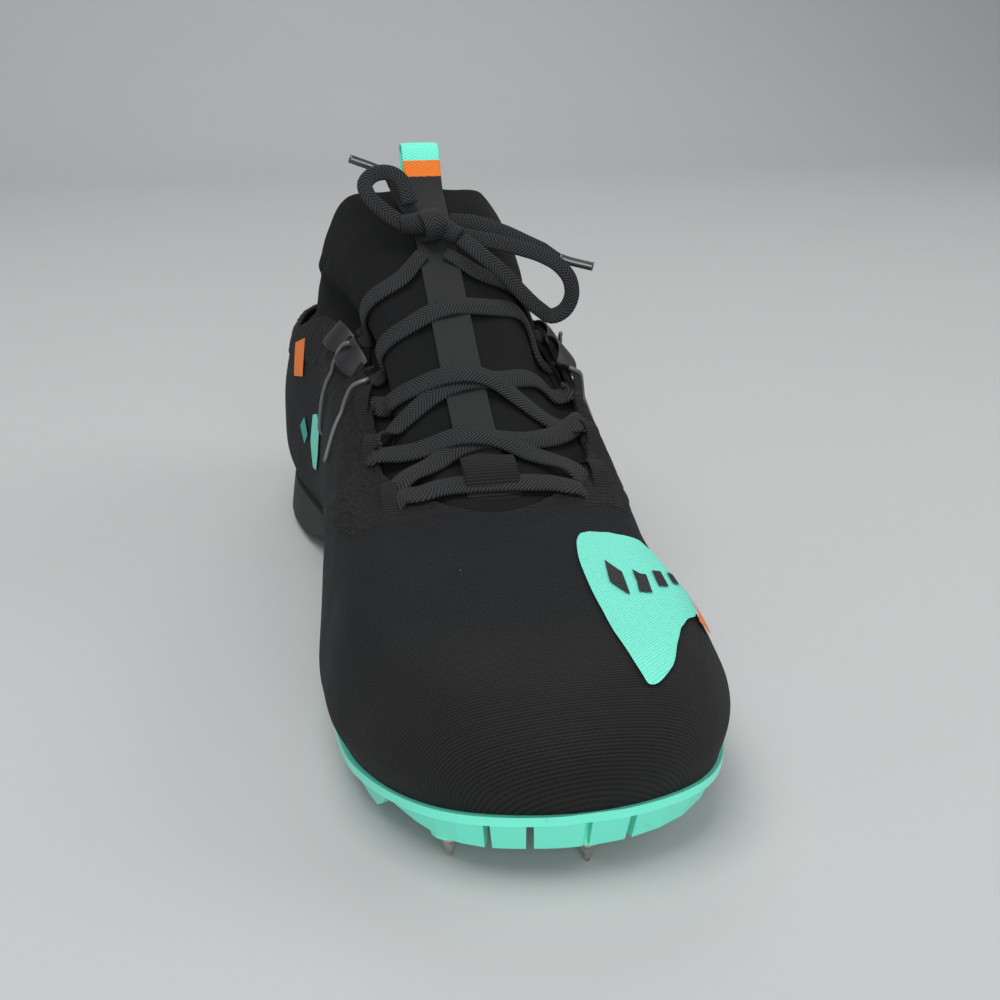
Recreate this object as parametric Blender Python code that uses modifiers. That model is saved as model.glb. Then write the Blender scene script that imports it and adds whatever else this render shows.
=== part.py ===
"""Track spike shoe for the left foot: a knitted sock in a hollow upper on a toothed sprint plate with steel pins.

Metres, +Z up. The toe points along -Y, the big toe side lies towards -X, and the shoe stands on its pins
and its heel tread on the plane Z = 0, with the origin under the middle of the shoe without its lace ends.
"""

import math
from collections import namedtuple

import bmesh
import bpy
import numpy as np
from mathutils import Vector
from mathutils.bvhtree import BVHTree

MM = 0.001

# Driving sizes of the shoe
LENGTH = 0.280
BALL_WIDTH = 0.0895
HEEL_WIDTH = 0.070
LAST_BEND = 0.0070
TOE_STACK = 0.0170
BALL_STACK = 0.0100
HEEL_STACK = 0.0150

# Openings of the upper and of the sock
THROAT_SETBACK = 0.078
THROAT_HEIGHT = 0.0505
EYE_HEIGHT = 0.058
INSTEP_HEIGHT = 0.0725
WAIST_HEIGHT = 0.074
TOPLINE_HEIGHT = 0.062
HEEL_TOP_HEIGHT = 0.066
TONGUE_SETBACK = 0.181
TONGUE_HEIGHT = 0.117
RIM_SIDE_HEIGHT = 0.083
RIM_HEEL_HEIGHT = 0.088

# Walls and clearances
UPPER_WALL = 0.0018
SOCK_WALL = 0.0022
SOCK_GAP = 0.0008
SOCK_DIP = 0.0020
SEAT_GAP = 0.0003
INSOLE_THICKNESS = 0.0030

# Sprint plate
PLATE_THICKNESS = 0.0020
PLATE_LIP = 0.0009
PLATE_END = 0.175
SKIRT_DEPTH = 0.0022
SKIRT_INSET = 0.0026
SLOT_WIDTH = 0.0021
PIN_REACH = 0.0062
PIN_BASE_RADIUS = 0.0024
PIN_CONE_RADIUS = 0.0019
PIN_TIP_RADIUS = 0.00045
PIN_FLANGE = 0.0012
BOSS_RADIUS = 0.0040
BOSS_FLARE = 0.0012

# Heel
MIDSOLE_FLARE = 0.0016
MIDSOLE_SCARF = 0.012
TREAD_THICKNESS = 0.0024
TREAD_INSET = 0.0030
TREAD_START = 0.200
TREAD_RIB = 0.0012

# Ribbon, keeper and laces
RIBBON_WIDTH = 0.0122
RIBBON_THICKNESS = 0.0009
RIBBON_X = 0.0010
RIBBON_START = 0.0955
RIBBON_LOOP_RISE = 0.0130
RIBBON_LOOP_RADIUS = 0.0025
RIBBON_TUCK = 0.014
KEEPER_WIDTH = 0.0135
KEEPER_THICKNESS = 0.0010
KEEPER_START = 0.0805
LACE_WIDTH = 0.0054
LACE_THICKNESS = 0.0016
LACE_GAP = 0.0004
AGLET_RADIUS = 0.0012
EYE_LOOP_WIDTH = 0.0072
EYE_LOOP_THICKNESS = 0.0009
EYE_LOOP_REACH = 0.0030
EYE_LOOP_LOW = 4.25

AROUND = 72

# Where the named stations of one closed level lie, as shares of that level's own length from its front end
STATION = {
    "tip": 0.0, "nose": 0.03, "toe": 0.12, "ball": 0.21, "instep": 0.40,
    "waist": 0.60, "heel": 0.84, "seat": 0.965, "back": 1.0,
}

# One row is one closed level round the last, from the feather edge up to the rim of the sock. front and back are insets
# from the shoe's ends. nose to instep are half widths as shares of half the ball width, waist to seat as shares of half
# the heel width.
Width = namedtuple("Width", "name front back nose toe ball instep waist heel seat")
WIDTHS = (
    Width("feather", 0.0033, 0.0045, 0.575, 0.885, 0.930, 0.850, 0.87, 0.90, 0.57),
    Width("swell", 0.0006, 0.0007, 0.600, 0.945, 0.985, 0.925, 0.98, 0.98, 0.64),
    Width("wall", 0.0012, 0.0000, 0.585, 0.900, 0.940, 0.890, 1.01, 0.99, 0.65),
    Width("shoulder", 0.0080, 0.0008, 0.530, 0.825, 0.855, 0.885, 1.00, 0.975, 0.64),
    Width("vamp", 0.0290, 0.0028, 0.420, 0.710, 0.800, 0.820, 0.96, 0.93, 0.60),
    Width("edge", THROAT_SETBACK, 0.0060, 0.340, 0.590, 0.615, 0.625, 0.83, 0.85, 0.56),
    Width("rim", TONGUE_SETBACK, 0.0120, 0.275, 0.440, 0.545, 0.590, 0.70, 0.52, 0.30),
)
EDGE = 5
RIM = 6

# How far each level's middle lies towards the outer side, as shares of LAST_BEND
Middle = namedtuple("Middle", "name tip toe ball instep waist heel")
MIDDLES = (
    Middle("feather", 0.30, 0.11, 0.07, 0.36, 0.14, -0.60),
    Middle("swell", 0.15, -0.08, 0.00, 0.36, 0.21, -0.60),
    Middle("wall", 0.00, -0.26, -0.10, 0.33, 0.29, -0.60),
    Middle("shoulder", -0.10, -0.35, -0.30, 0.29, 0.36, -0.60),
    Middle("vamp", -0.10, -0.29, -0.17, 0.50, 0.43, -0.57),
    Middle("edge", 0.10, 0.36, 0.68, 0.80, 0.33, -0.57),
    Middle("rim", -0.04, 0.00, 0.24, 0.30, -0.05, -0.57),
)

# How far up each level lies, as shares of the way from the footbed to the heights of the level called edge
Rise = namedtuple("Rise", "name tip toe ball instep waist heel back")
RISES = (
    Rise("feather", 0.00, 0.00, 0.00, 0.00, 0.00, 0.00, 0.00),
    Rise("swell", 0.22, 0.23, 0.20, 0.155, 0.16, 0.20, 0.18),
    Rise("wall", 0.44, 0.445, 0.41, 0.345, 0.37, 0.43, 0.40),
    Rise("shoulder", 0.66, 0.66, 0.58, 0.47, 0.56, 0.64, 0.60),
    Rise("vamp", 0.80, 0.80, 0.74, 0.64, 0.76, 0.82, 0.81),
    Rise("edge", 1.00, 1.00, 1.00, 1.00, 1.00, 1.00, 1.00),
    Rise("rim", 1.00, 1.00, 1.00, 1.00, 1.00, 1.00, 1.00),
)

# The footbed's side profile: shares of the toe's and the heel's extra stack over the ball's
Bed = namedtuple("Bed", "along toe heel")
BEDS = (
    Bed(0.00, 1.00, 0.0), Bed(0.06, 0.66, 0.0), Bed(0.14, 0.30, 0.0), Bed(0.28, 0.02, 0.0),
    Bed(0.42, 0.0, 0.12), Bed(0.58, 0.0, 0.62), Bed(0.75, 0.0, 1.0), Bed(1.00, 0.0, 1.08),
)

# Steel pins: distance from the toe end and from the heel to toe line, as shares of the length and of half the ball width
Pin = namedtuple("Pin", "along across")
PINS = (
    Pin(0.0385, 0.076), Pin(0.066, -0.518), Pin(0.100, 0.645), Pin(0.190, -0.60),
    Pin(0.235, 0.66), Pin(0.315, -0.52), Pin(0.375, 0.60),
)

# Teeth of the plate's skirt, as shares of the way round the shoe from the heel by the inner side: a tooth's two ends,
# its depth below the plate's top edge at its two ends and at its middle, as shares of the toe stack
Tooth = namedtuple("Tooth", "start end first middle last")
TEETH = (
    Tooth(0.296, 0.312, 0.16, 0.34, 0.16), Tooth(0.316, 0.333, 0.16, 0.38, 0.16), Tooth(0.337, 0.355, 0.16, 0.42, 0.16),
    Tooth(0.359, 0.378, 0.16, 0.44, 0.16), Tooth(0.382, 0.402, 0.16, 0.46, 0.16), Tooth(0.406, 0.427, 0.16, 0.46, 0.16),
    Tooth(0.431, 0.4665, 0.20, 0.44, 0.52), Tooth(0.4690, 0.4795, 0.52, 0.52, 0.52),
    Tooth(0.4820, 0.4975, 0.52, 0.53, 0.53), Tooth(0.5000, 0.5130, 0.53, 0.53, 0.53),
    Tooth(0.5155, 0.5600, 0.53, 0.46, 0.20), Tooth(0.564, 0.584, 0.16, 0.46, 0.16),
    Tooth(0.588, 0.608, 0.16, 0.46, 0.16), Tooth(0.6135, 0.6325, 0.165, 0.43, 0.165), Tooth(0.637, 0.655, 0.16, 0.42, 0.16),
    Tooth(0.659, 0.677, 0.16, 0.38, 0.16), Tooth(0.681, 0.698, 0.16, 0.34, 0.16),
)

# Lacing rows from the toe up: where the two eyes of each row lie along the shoe, and how far below the edge, in levels
EyeRow = namedtuple("EyeRow", "inner outer below")
EYES = (
    EyeRow(0.321, 0.337, 0.12), EyeRow(0.411, 0.411, 0.12), EyeRow(0.482, 0.493, 0.12),
    EyeRow(0.564, 0.543, 0.12), EyeRow(0.625, 0.589, 0.12),
)

# The free lace from the knot on, in metres: routes chosen by hand from the photograph
KNOT_AT = (-0.0007, 0.0212, 0.1068)
KNOT_SIZE = (0.0125, 0.0080, 0.0062)
FREE_LACES = {
    "lace_loop_left": (
        (-0.0078, 0.0214, 0.1068), (-0.0104, 0.0222, 0.1082), (-0.0140, 0.0232, 0.1110), (-0.0172, 0.0245, 0.1145),
        (-0.0178, 0.0262, 0.1172), (-0.0160, 0.0275, 0.1192), (-0.0128, 0.0280, 0.1202), (-0.0098, 0.0275, 0.1198),
        (-0.0076, 0.0266, 0.1182), (-0.0066, 0.0258, 0.1158), (-0.0060, 0.0250, 0.1136), (-0.0056, 0.0244, 0.1118),
    ),
    "lace_loop_right": (
        (0.0058, 0.0195, 0.1040), (0.0110, 0.0175, 0.1030), (0.0170, 0.0150, 0.1018), (0.0230, 0.0128, 0.1004),
        (0.0290, 0.0106, 0.0985), (0.0338, 0.0092, 0.0956), (0.0366, 0.0084, 0.0918), (0.0371, 0.0080, 0.0872),
        (0.0349, 0.0080, 0.0832), (0.0315, 0.0080, 0.0818), (0.0275, 0.0072, 0.0842), (0.0222, 0.0070, 0.0892),
        (0.0168, 0.0078, 0.0950), (0.0112, 0.0100, 0.0998), (0.0068, 0.0135, 0.1034),
    ),
    "lace_end_left": (
        (-0.0039, 0.0245, 0.1081), (-0.0060, 0.0278, 0.1112), (-0.0076, 0.0312, 0.1145), (-0.0086, 0.0327, 0.1170),
        (-0.0102, 0.0337, 0.1190), (-0.0124, 0.0342, 0.1203),
    ),
    "lace_end_right": (
        (0.0056, 0.0240, 0.1068), (0.0100, 0.0232, 0.1066), (0.0150, 0.0215, 0.1056), (0.0205, 0.0190, 0.1038),
        (0.0262, 0.0160, 0.1012), (0.0310, 0.0138, 0.0990), (0.0345, 0.0122, 0.0975),
    ),
}
AGLETS = {
    "aglet_left": ((-0.0128, 0.0343, 0.1205), (-0.0208, 0.0352, 0.1236)),
    "aglet_right": ((0.0350, 0.0120, 0.0973), (0.0436, 0.0092, 0.0950)),
}

# Colours as seen in the photograph
BLACK_MESH = (0.012, 0.013, 0.014, 1.0)
BLACK_KNIT = (0.016, 0.017, 0.018, 1.0)
BLACK_FOAM = (0.020, 0.020, 0.021, 1.0)
BLACK_FILM = (0.018, 0.019, 0.021, 1.0)
BLACK_LACE = (0.022, 0.022, 0.022, 1.0)
MINT = (0.16, 0.78, 0.60, 1.0)
STEEL = (0.62, 0.58, 0.55, 1.0)


def material(name, color, roughness, metallic=0.0):
    """A plain Principled material."""
    made = bpy.data.materials.new(name)
    made.use_nodes = True
    shader = made.node_tree.nodes["Principled BSDF"]
    shader.inputs["Base Color"].default_value = color
    shader.inputs["Roughness"].default_value = roughness
    shader.inputs["Metallic"].default_value = metallic
    return made


def hermite(knots, values, at):
    """Smooth curve through values at rising knots, read at one or more places."""
    knots = np.asarray(knots, float)
    values = np.asarray(values, float)
    at = np.atleast_1d(np.asarray(at, float))
    steps = np.diff(knots)
    slopes = np.diff(values, axis=0) / steps.reshape(-1, *([1] * (values.ndim - 1)))
    tangents = np.empty_like(values)
    weights = (steps[1:] / (steps[:-1] + steps[1:])).reshape(-1, *([1] * (values.ndim - 1)))
    tangents[1:-1] = weights * slopes[:-1] + (1 - weights) * slopes[1:]
    tangents[0] = slopes[0]
    tangents[-1] = slopes[-1]
    index = np.clip(np.searchsorted(knots, at, side="right") - 1, 0, len(steps) - 1)
    shape = (-1, *([1] * (values.ndim - 1)))
    h = steps[index].reshape(shape)
    u = ((at - knots[index]) / steps[index]).reshape(shape)
    return (
        (2 * u**3 - 3 * u**2 + 1) * values[index]
        + (u**3 - 2 * u**2 + u) * h * tangents[index]
        + (3 * u**2 - 2 * u**3) * values[index + 1]
        + (u**3 - u**2) * h * tangents[index + 1]
    )


def along_of(y):
    """Share of the length from the toe end."""
    return np.clip((np.asarray(y, float) + LENGTH / 2) / LENGTH, 0.0, 1.0)


def bed_of(y):
    """Height of the footbed, where upper and sole meet, at y."""
    knots = [b.along for b in BEDS]
    toe = hermite(knots, [b.toe for b in BEDS], along_of(y))
    heel = hermite(knots, [b.heel for b in BEDS], along_of(y))
    return BALL_STACK + toe * (TOE_STACK - BALL_STACK) + heel * (HEEL_STACK - BALL_STACK)


def edge_heights(name):
    """Heights of the throat and topline, or of the sock's rim, by station."""
    if name == "rim":
        fall = TONGUE_HEIGHT - RIM_SIDE_HEIGHT
        return {
            "tip": TONGUE_HEIGHT, "toe": TONGUE_HEIGHT - 0.26 * fall, "ball": TONGUE_HEIGHT - 0.50 * fall,
            "instep": TONGUE_HEIGHT - 0.82 * fall, "waist": RIM_SIDE_HEIGHT, "heel": RIM_SIDE_HEIGHT,
            "back": RIM_HEEL_HEIGHT,
        }
    return {
        "tip": THROAT_HEIGHT, "toe": 0.5 * (THROAT_HEIGHT + EYE_HEIGHT), "ball": EYE_HEIGHT, "instep": INSTEP_HEIGHT,
        "waist": WAIST_HEIGHT, "heel": TOPLINE_HEIGHT, "back": HEEL_TOP_HEIGHT,
    }


def between(values, station):
    """The value at a station: nose and seat lie between their neighbours."""
    if station == "nose":
        return 0.6 * values["tip"] + 0.4 * values["toe"]
    if station == "seat":
        return 0.4 * values["heel"] + 0.6 * values["back"]
    return values[station]


def level_keys(index):
    """The sixteen key points of one closed level, from the heel's back by the inner side to the toe and round."""
    width, middle, rise = WIDTHS[index]._asdict(), MIDDLES[index]._asdict(), RISES[index]._asdict()
    middle["back"] = middle["heel"]
    heights = edge_heights(width["name"])
    front = -LENGTH / 2 + width["front"]
    back = LENGTH / 2 - width["back"]
    order = ["back", "seat", "heel", "waist", "instep", "ball", "toe", "nose", "tip"]
    rounds = [(name, -1) for name in order] + [(name, 1) for name in order[-2:0:-1]]
    keys = []
    for name, side in rounds:
        y = front + STATION[name] * (back - front)
        bed = float(bed_of(y)[0])
        half = 0.0 if name in ("tip", "back") else width[name]
        half *= (HEEL_WIDTH if name in ("waist", "heel", "seat") else BALL_WIDTH) / 2
        x = between(middle, name) * LAST_BEND + side * half
        keys.append((x, y, bed + between(rise, name) * (between(heights, name) - bed)))
    return np.array(keys)


def round_knots():
    """Knots of the key points round the shoe, 0 to 1, by their spacing on the level called wall."""
    keys = level_keys(2)
    steps = np.linalg.norm(np.diff(np.vstack([keys, keys[:1]]), axis=0), axis=1)
    inner = np.concatenate([[0.0], np.cumsum(steps)])
    tip = len(keys) // 2
    knots = np.empty(len(keys))
    knots[: tip + 1] = 0.5 * inner[: tip + 1] / inner[tip]
    knots[tip + 1:] = 1.0 - knots[tip - 1:0:-1]
    return knots


KNOTS = round_knots()


def closed_curve(keys, places):
    """Closed smooth curve through the key points, read at places from 0 to 1 round the shoe."""
    wrap = 3
    values = np.vstack([keys[-wrap:], keys, keys[: wrap + 1]])
    knots = np.concatenate([KNOTS[-wrap:] - 1.0, KNOTS, KNOTS[: wrap + 1] + 1.0])
    return hermite(knots, values, np.mod(places, 1.0))


def last_points(places, level_at):
    """Points of the last's outer form: places round the shoe, level_at from 0, the feather edge, to 6, the rim."""
    places = np.atleast_1d(np.asarray(places, float))
    level_at = np.atleast_1d(np.asarray(level_at, float))
    rings = np.array([closed_curve(level_keys(index), places) for index in range(len(WIDTHS))])
    result = np.empty((len(level_at), len(places), 3))
    for column in range(len(places)):
        points = rings[:, column]
        steps = np.linalg.norm(np.diff(points, axis=0), axis=1) ** 0.75
        knots = np.concatenate([[0.0], np.cumsum(steps)])
        whole = np.clip(level_at.astype(int), 0, RIM - 1)
        wanted = knots[whole] + (level_at - whole) * steps[whole]
        result[:, column] = hermite(knots, points, wanted)
    return result


def last_normals(places, level_at):
    """Outward normals of the last's form at the same grid as last_points. Up to the edge they look down the wall only."""
    small = 1e-3
    level_at = np.atleast_1d(np.asarray(level_at, float))
    places = np.atleast_1d(np.asarray(places, float))
    low = np.where(level_at > EDGE, level_at, np.maximum(level_at - small, 0.0))
    high = np.where(level_at > EDGE, np.minimum(level_at + small, RIM), np.maximum(level_at, small))
    low = np.where(high - low < small / 2, low - small, low)
    up = last_points(places, high) - last_points(places, low)
    on = last_points(places + small, level_at) - last_points(places - small, level_at)
    normal = np.cross(on, up)
    return normal / np.linalg.norm(normal, axis=2, keepdims=True)


def last_offset(places, level_at, inward):
    """Grid of points set in from the last's form by inward, one value or one for each row."""
    return last_points(places, level_at) - np.reshape(inward, (-1, 1, 1)) * last_normals(places, level_at)


def link(obj, collection, look):
    """Puts an object in a collection with its material."""
    collection.objects.link(obj)
    if look is not None:
        obj.data.materials.append(look)
    return obj


def mesh_object(name, points, faces, collection, look, smooth=True, closed=True):
    """A mesh object from points and faces. A closed one gets its normals turned outwards."""
    mesh = bpy.data.meshes.new(name)
    mesh.from_pydata([tuple(p) for p in points], [], [tuple(f) for f in faces])
    if closed:
        work = bmesh.new()
        work.from_mesh(mesh)
        bmesh.ops.recalc_face_normals(work, faces=work.faces)
        work.to_mesh(mesh)
        work.free()
    if smooth:
        mesh.shade_smooth()
    return link(bpy.data.objects.new(name, mesh), collection, look)


def grid_faces(rows, columns, closed):
    """Quads of a grid of points, its columns closed round or not."""
    faces = []
    for row in range(rows - 1):
        for column in range(columns if closed else columns - 1):
            after = (column + 1) % columns
            faces.append((row * columns + column, row * columns + after,
                          (row + 1) * columns + after, (row + 1) * columns + column))
    return faces


def tube_faces(sections, corners):
    """Faces of a closed tube through sections of equal corners, with both ends capped."""
    faces = grid_faces(sections, corners, True)
    faces.append(tuple(range(corners)))
    faces.append(tuple(range((sections - 1) * corners, sections * corners)))
    return faces


def shell(name, places, level_at, inset, wall, collection, look):
    """A closed band of wall thickness, its outer face set in from the last's form, its two edges joined."""
    outer = last_offset(places, level_at, np.asarray(inset, float))
    inner = last_offset(places, level_at, np.asarray(inset, float) + wall)
    rows, columns = outer.shape[:2]
    faces = grid_faces(rows, columns, True)
    half = rows * columns
    inside = [tuple(half + corner for corner in face[::-1]) for face in faces]
    rims = []
    for row, turn in ((0, 1), (rows - 1, -1)):
        for column in range(columns):
            first, after = row * columns + column, row * columns + (column + 1) % columns
            rims.append((half + first, half + after, after, first)[::turn])
    points = np.concatenate([outer.reshape(-1, 3), inner.reshape(-1, 3)])
    return mesh_object(name, points, faces + inside + rims, collection, look, closed=False)


def applied(obj):
    """Replaces an object's mesh by the mesh that its modifiers give."""
    graph = bpy.context.evaluated_depsgraph_get()
    mesh = bpy.data.meshes.new_from_object(obj.evaluated_get(graph))
    obj.modifiers.clear()
    obj.data = mesh
    return obj


def boolean(obj, other, operation):
    """Joins or cuts with another object, and makes the result the object's own mesh."""
    cut = obj.modifiers.new(operation.lower(), "BOOLEAN")
    cut.operation = operation
    cut.solver = "EXACT"
    cut.use_hole_tolerant = True
    cut.object = other
    bpy.context.view_layer.update()
    applied(obj)
    bpy.data.objects.remove(other)
    return obj


def around_places(count=AROUND):
    """Evenly spaced places round the shoe."""
    return np.arange(count) / count


def build_upper(parts, look):
    """The hollow upper, from the feather edge to its throat and topline, open underneath."""
    level_at = (0.0, 0.45, 1.0, 1.5, 2.0, 2.5, 3.0, 3.45, 4.0, 4.35, 4.7, 5.0)
    return shell("upper", around_places(), level_at, 0.0, UPPER_WALL, parts, look)


def build_sock(parts, look):
    """The knitted sock: tongue and ankle collar in one, from inside the upper's edge to its rim."""
    level_at = (4.35, 4.7, 5.0, 5.14, 5.3, 5.48, 5.66, 5.84, 6.0)
    dips = np.array((0.0, 0.0, 0.3, 1.0, 1.15, 0.7, 0.2, 0.0, 0.0)) * SOCK_DIP
    return shell("sock", around_places(), level_at, UPPER_WALL + SOCK_GAP + dips, SOCK_WALL, parts, look)


def outline(level, inset, places):
    """Plan outline of a level, moved in by inset along its plan normal, as (x, y) pairs."""
    points = closed_curve(level_keys(level), places)[:, :2]
    small = 1e-3
    ahead = closed_curve(level_keys(level), places + small)[:, :2]
    behind = closed_curve(level_keys(level), places - small)[:, :2]
    on = ahead - behind
    outward = np.stack([on[:, 1], -on[:, 0]], axis=1)
    return points - inset * outward / np.linalg.norm(outward, axis=1, keepdims=True)


def side_table(inset):
    """Rows (y, inner x, outer x) of the feather outline moved in by inset, from toe to heel."""
    fine = np.linspace(0.0, 1.0, 721)
    points = outline(0, inset, fine)
    toe = int(np.argmin(points[:, 1]))
    inner = points[: toe + 1][::-1]
    outer = points[toe:]
    return inner, outer


def slab(name, start, end, inset, top_of, bottom_of, rows, collection, look, flare=0.0, across=7):
    """A slab between two heights over the feather outline, from start to end along the shoe, toe end first."""
    inner, outer = side_table(inset)
    first = max(start, float(inner[0, 1]) + 0.0004)
    last = min(end, float(inner[-1, 1]) - 0.0004, float(outer[-1, 1]) - 0.0004)
    bend = np.arange(rows) / (rows - 1)
    ease_in = 1.0 - np.cos(bend * math.pi / 2) if start <= inner[0, 1] else bend
    ease_out = np.sin(bend * math.pi / 2) if end >= inner[-1, 1] else bend
    share = ease_in if start <= inner[0, 1] else ease_out
    if start <= inner[0, 1] and end >= inner[-1, 1]:
        share = (1.0 - np.cos(bend * math.pi)) / 2
    ys = first + share * (last - first)
    points = []
    for y in ys:
        left = float(np.interp(y, inner[:, 1], inner[:, 0]))
        right = float(np.interp(y, outer[:, 1], outer[:, 0]))
        xs = np.linspace(left, right, across)
        top = top_of(y)
        bottom = bottom_of(y)
        half = (right - left) / 2
        spread = 1.0 + flare / max(half, flare)
        centre = (left + right) / 2
        points += [(x, y, top) for x in xs]
        points += [(centre + (x - centre) * spread, y, bottom) for x in xs[::-1]]
    return mesh_object(name, points, tube_faces(rows, 2 * across), collection, look)


def foot_top(y):
    """Height of the sole's top face, just under the footbed line."""
    return float(bed_of(y)[0]) - SEAT_GAP


def skirt_section(place, depth):
    """Corners of the skirt at one place: outer top, outer bottom, inner bottom and the root under the plate."""
    lip = PLATE_LIP - 0.0004
    slant = SKIRT_INSET * depth / (0.53 * TOE_STACK)
    at = np.array([place])
    x, y = outline(0, -lip, at)[0]
    low_x, low_y = outline(0, slant - lip, at)[0]
    in_x, in_y = outline(0, slant - lip + SKIRT_DEPTH, at)[0]
    root_x, root_y = outline(0, SKIRT_DEPTH + SKIRT_INSET, at)[0]
    top = foot_top(y) - 0.5 * PLATE_THICKNESS
    bottom = foot_top(y) - depth
    return [(x, y, top), (low_x, low_y, bottom), (in_x, in_y, bottom), (root_x, root_y, top)]


def skirt_sections(steps=4):
    """Corners of the whole skirt: every tooth at its own depth, and the gaps between them up inside the plate."""
    sections = []
    gap = 0.85 * PLATE_THICKNESS
    for tooth in TEETH:
        places = np.linspace(tooth.start, tooth.end, steps + 1)
        shares = hermite([0.0, 0.5, 1.0], [tooth.first, tooth.middle, tooth.last], np.linspace(0, 1, steps + 1))
        sections.append(skirt_section(tooth.start - 0.0002, gap))
        sections += [skirt_section(place, share * TOE_STACK) for place, share in zip(places, shares)]
        sections.append(skirt_section(tooth.end + 0.0002, gap))
    return np.array(sections)


def pin_spots():
    """World places of the pins on the floor."""
    spots = []
    for pin in PINS:
        x = pin.across * BALL_WIDTH / 2
        spots.append((x, -LENGTH / 2 + pin.along * LENGTH))
    return spots


def build_plate(parts, look):
    """The sprint plate: a thin sheet from toe to midfoot with a slotted skirt and a boss for each pin."""
    end = -LENGTH / 2 + PLATE_END
    plate = slab(
        "plate", -LENGTH, end, -PLATE_LIP, foot_top, lambda y: foot_top(y) - PLATE_THICKNESS, 40, parts, look,
        across=6,
    )
    skirt = skirt_sections()
    added = [mesh_object("skirt", skirt.reshape(-1, 3), tube_faces(len(skirt), 4), parts, None)]
    for x, y in pin_spots():
        work = bmesh.new()
        top = foot_top(y) - 0.5 * PLATE_THICKNESS
        height = top - PIN_REACH
        bmesh.ops.create_cone(
            work, cap_ends=True, segments=14, radius1=BOSS_RADIUS, radius2=BOSS_RADIUS + BOSS_FLARE, depth=height
        )
        bmesh.ops.translate(work, verts=work.verts, vec=(x, y, PIN_REACH + height / 2))
        mesh = bpy.data.meshes.new("boss")
        work.to_mesh(mesh)
        work.free()
        added.append(link(bpy.data.objects.new("boss", mesh), parts, None))
    for piece in added:
        boolean(plate, piece, "UNION")
    plate.data.set_sharp_from_angle(angle=math.radians(35))
    return plate


def build_pins(parts, look):
    """Steel pins, each a flange and a cone with a small flat tip on the floor, turned about its own axis."""
    for number, (x, y) in enumerate(pin_spots(), start=1):
        top = PIN_REACH - SEAT_GAP
        profile = (
            (0.0, top), (PIN_BASE_RADIUS, top), (PIN_BASE_RADIUS, top - PIN_FLANGE),
            (PIN_CONE_RADIUS, top - PIN_FLANGE - 0.0003), (PIN_TIP_RADIUS, 0.0), (0.0, 0.0),
        )
        mesh = bpy.data.meshes.new(f"pin_{number}")
        mesh.from_pydata([(r, 0.0, z) for r, z in profile], [(i, i + 1) for i in range(len(profile) - 1)], [])
        pin = link(bpy.data.objects.new(f"pin_{number}", mesh), parts, look)
        pin.location = (x, y, 0.0)
        turn = pin.modifiers.new("turn", "SCREW")
        turn.steps = 12
        turn.render_steps = 12
        turn.use_merge_vertices = True
        turn.merge_threshold = 0.00001
        turn.use_smooth_shade = False


def heel_under(y):
    """Height of the foam's underside: up in the arch, flat over the heel tread."""
    rise = float(bed_of(y)[0]) - PLATE_THICKNESS - 0.0020
    start = -LENGTH / 2 + PLATE_END
    flat = -LENGTH / 2 + TREAD_START
    share = min(max((y - start) / (flat - start), 0.0), 1.0)
    share = share * share * (3 - 2 * share)
    return (1 - share) * rise + share * (TREAD_THICKNESS + SEAT_GAP)


def build_midsole(parts, look):
    """The foam wedge from the plate's end to the heel, with its side faces flared to the floor."""
    start = -LENGTH / 2 + PLATE_END + SEAT_GAP
    return slab("midsole", start, LENGTH, -0.0012, foot_top, heel_under, 22, parts, look, flare=MIDSOLE_FLARE)


def build_tread(parts, look):
    """The rubber heel tread, with a few ribs across it, on the floor."""
    start = -LENGTH / 2 + TREAD_START + 0.004
    tread = slab(
        "heel_tread", start, LENGTH, TREAD_INSET, lambda y: TREAD_THICKNESS, lambda y: 0.0, 14, parts, look, across=5,
    )
    pitch = 0.0085
    width = 0.0022
    count = int((LENGTH / 2 - 0.014 - start) / pitch)
    points = []
    faces = []
    corners = ((-1, -1), (1, -1), (1, 1), (-1, 1))
    for index in range(count):
        y = start + 0.006 + index * pitch
        first = len(points)
        for z in (-0.001, TREAD_RIB):
            points += [(sx * HEEL_WIDTH, y + sy * width / 2, z) for sx, sy in corners]
        faces += [tuple(first + i for i in face) for face in tube_faces(2, 4)]
    grooves = mesh_object("grooves", points, faces, parts, None, smooth=False)
    boolean(tread, grooves, "DIFFERENCE")
    tread.data.set_sharp_from_angle(angle=math.radians(30))
    return tread


def build_insole(parts, look):
    """The loose footbed on the sole, inside the upper's wall."""
    return slab(
        "insole", -LENGTH, LENGTH, UPPER_WALL + 0.0010, lambda y: float(bed_of(y)[0]) + INSOLE_THICKNESS,
        lambda y: float(bed_of(y)[0]), 26, parts, look, across=6,
    )


def surface_tree(*objects):
    """A tree for rays onto the outer faces of built pieces."""
    graph = bpy.context.evaluated_depsgraph_get()
    points = []
    faces = []
    for obj in objects:
        mesh = obj.evaluated_get(graph).to_mesh()
        first = len(points)
        points += [obj.matrix_world @ v.co for v in mesh.vertices]
        faces += [tuple(first + i for i in polygon.vertices) for polygon in mesh.polygons]
        obj.evaluated_get(graph).to_mesh_clear()
    return BVHTree.FromPolygons(points, faces)


def drop(tree, x, y):
    """The highest point of the pieces under (x, y), with its normal."""
    place, normal, _, _ = tree.ray_cast(Vector((x, y, 1.0)), Vector((0, 0, -1)))
    return place, normal


def ribbon_section(path, thickness):
    """Closed side outline, as (y, z), of a strip of thickness along a path."""
    path = np.asarray(path, float)
    on = np.gradient(path, axis=0)
    on /= np.linalg.norm(on, axis=1, keepdims=True)
    across = np.stack([-on[:, 1], on[:, 0]], axis=1) * thickness / 2
    return np.vstack([path + across, (path - across)[::-1]])


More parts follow.
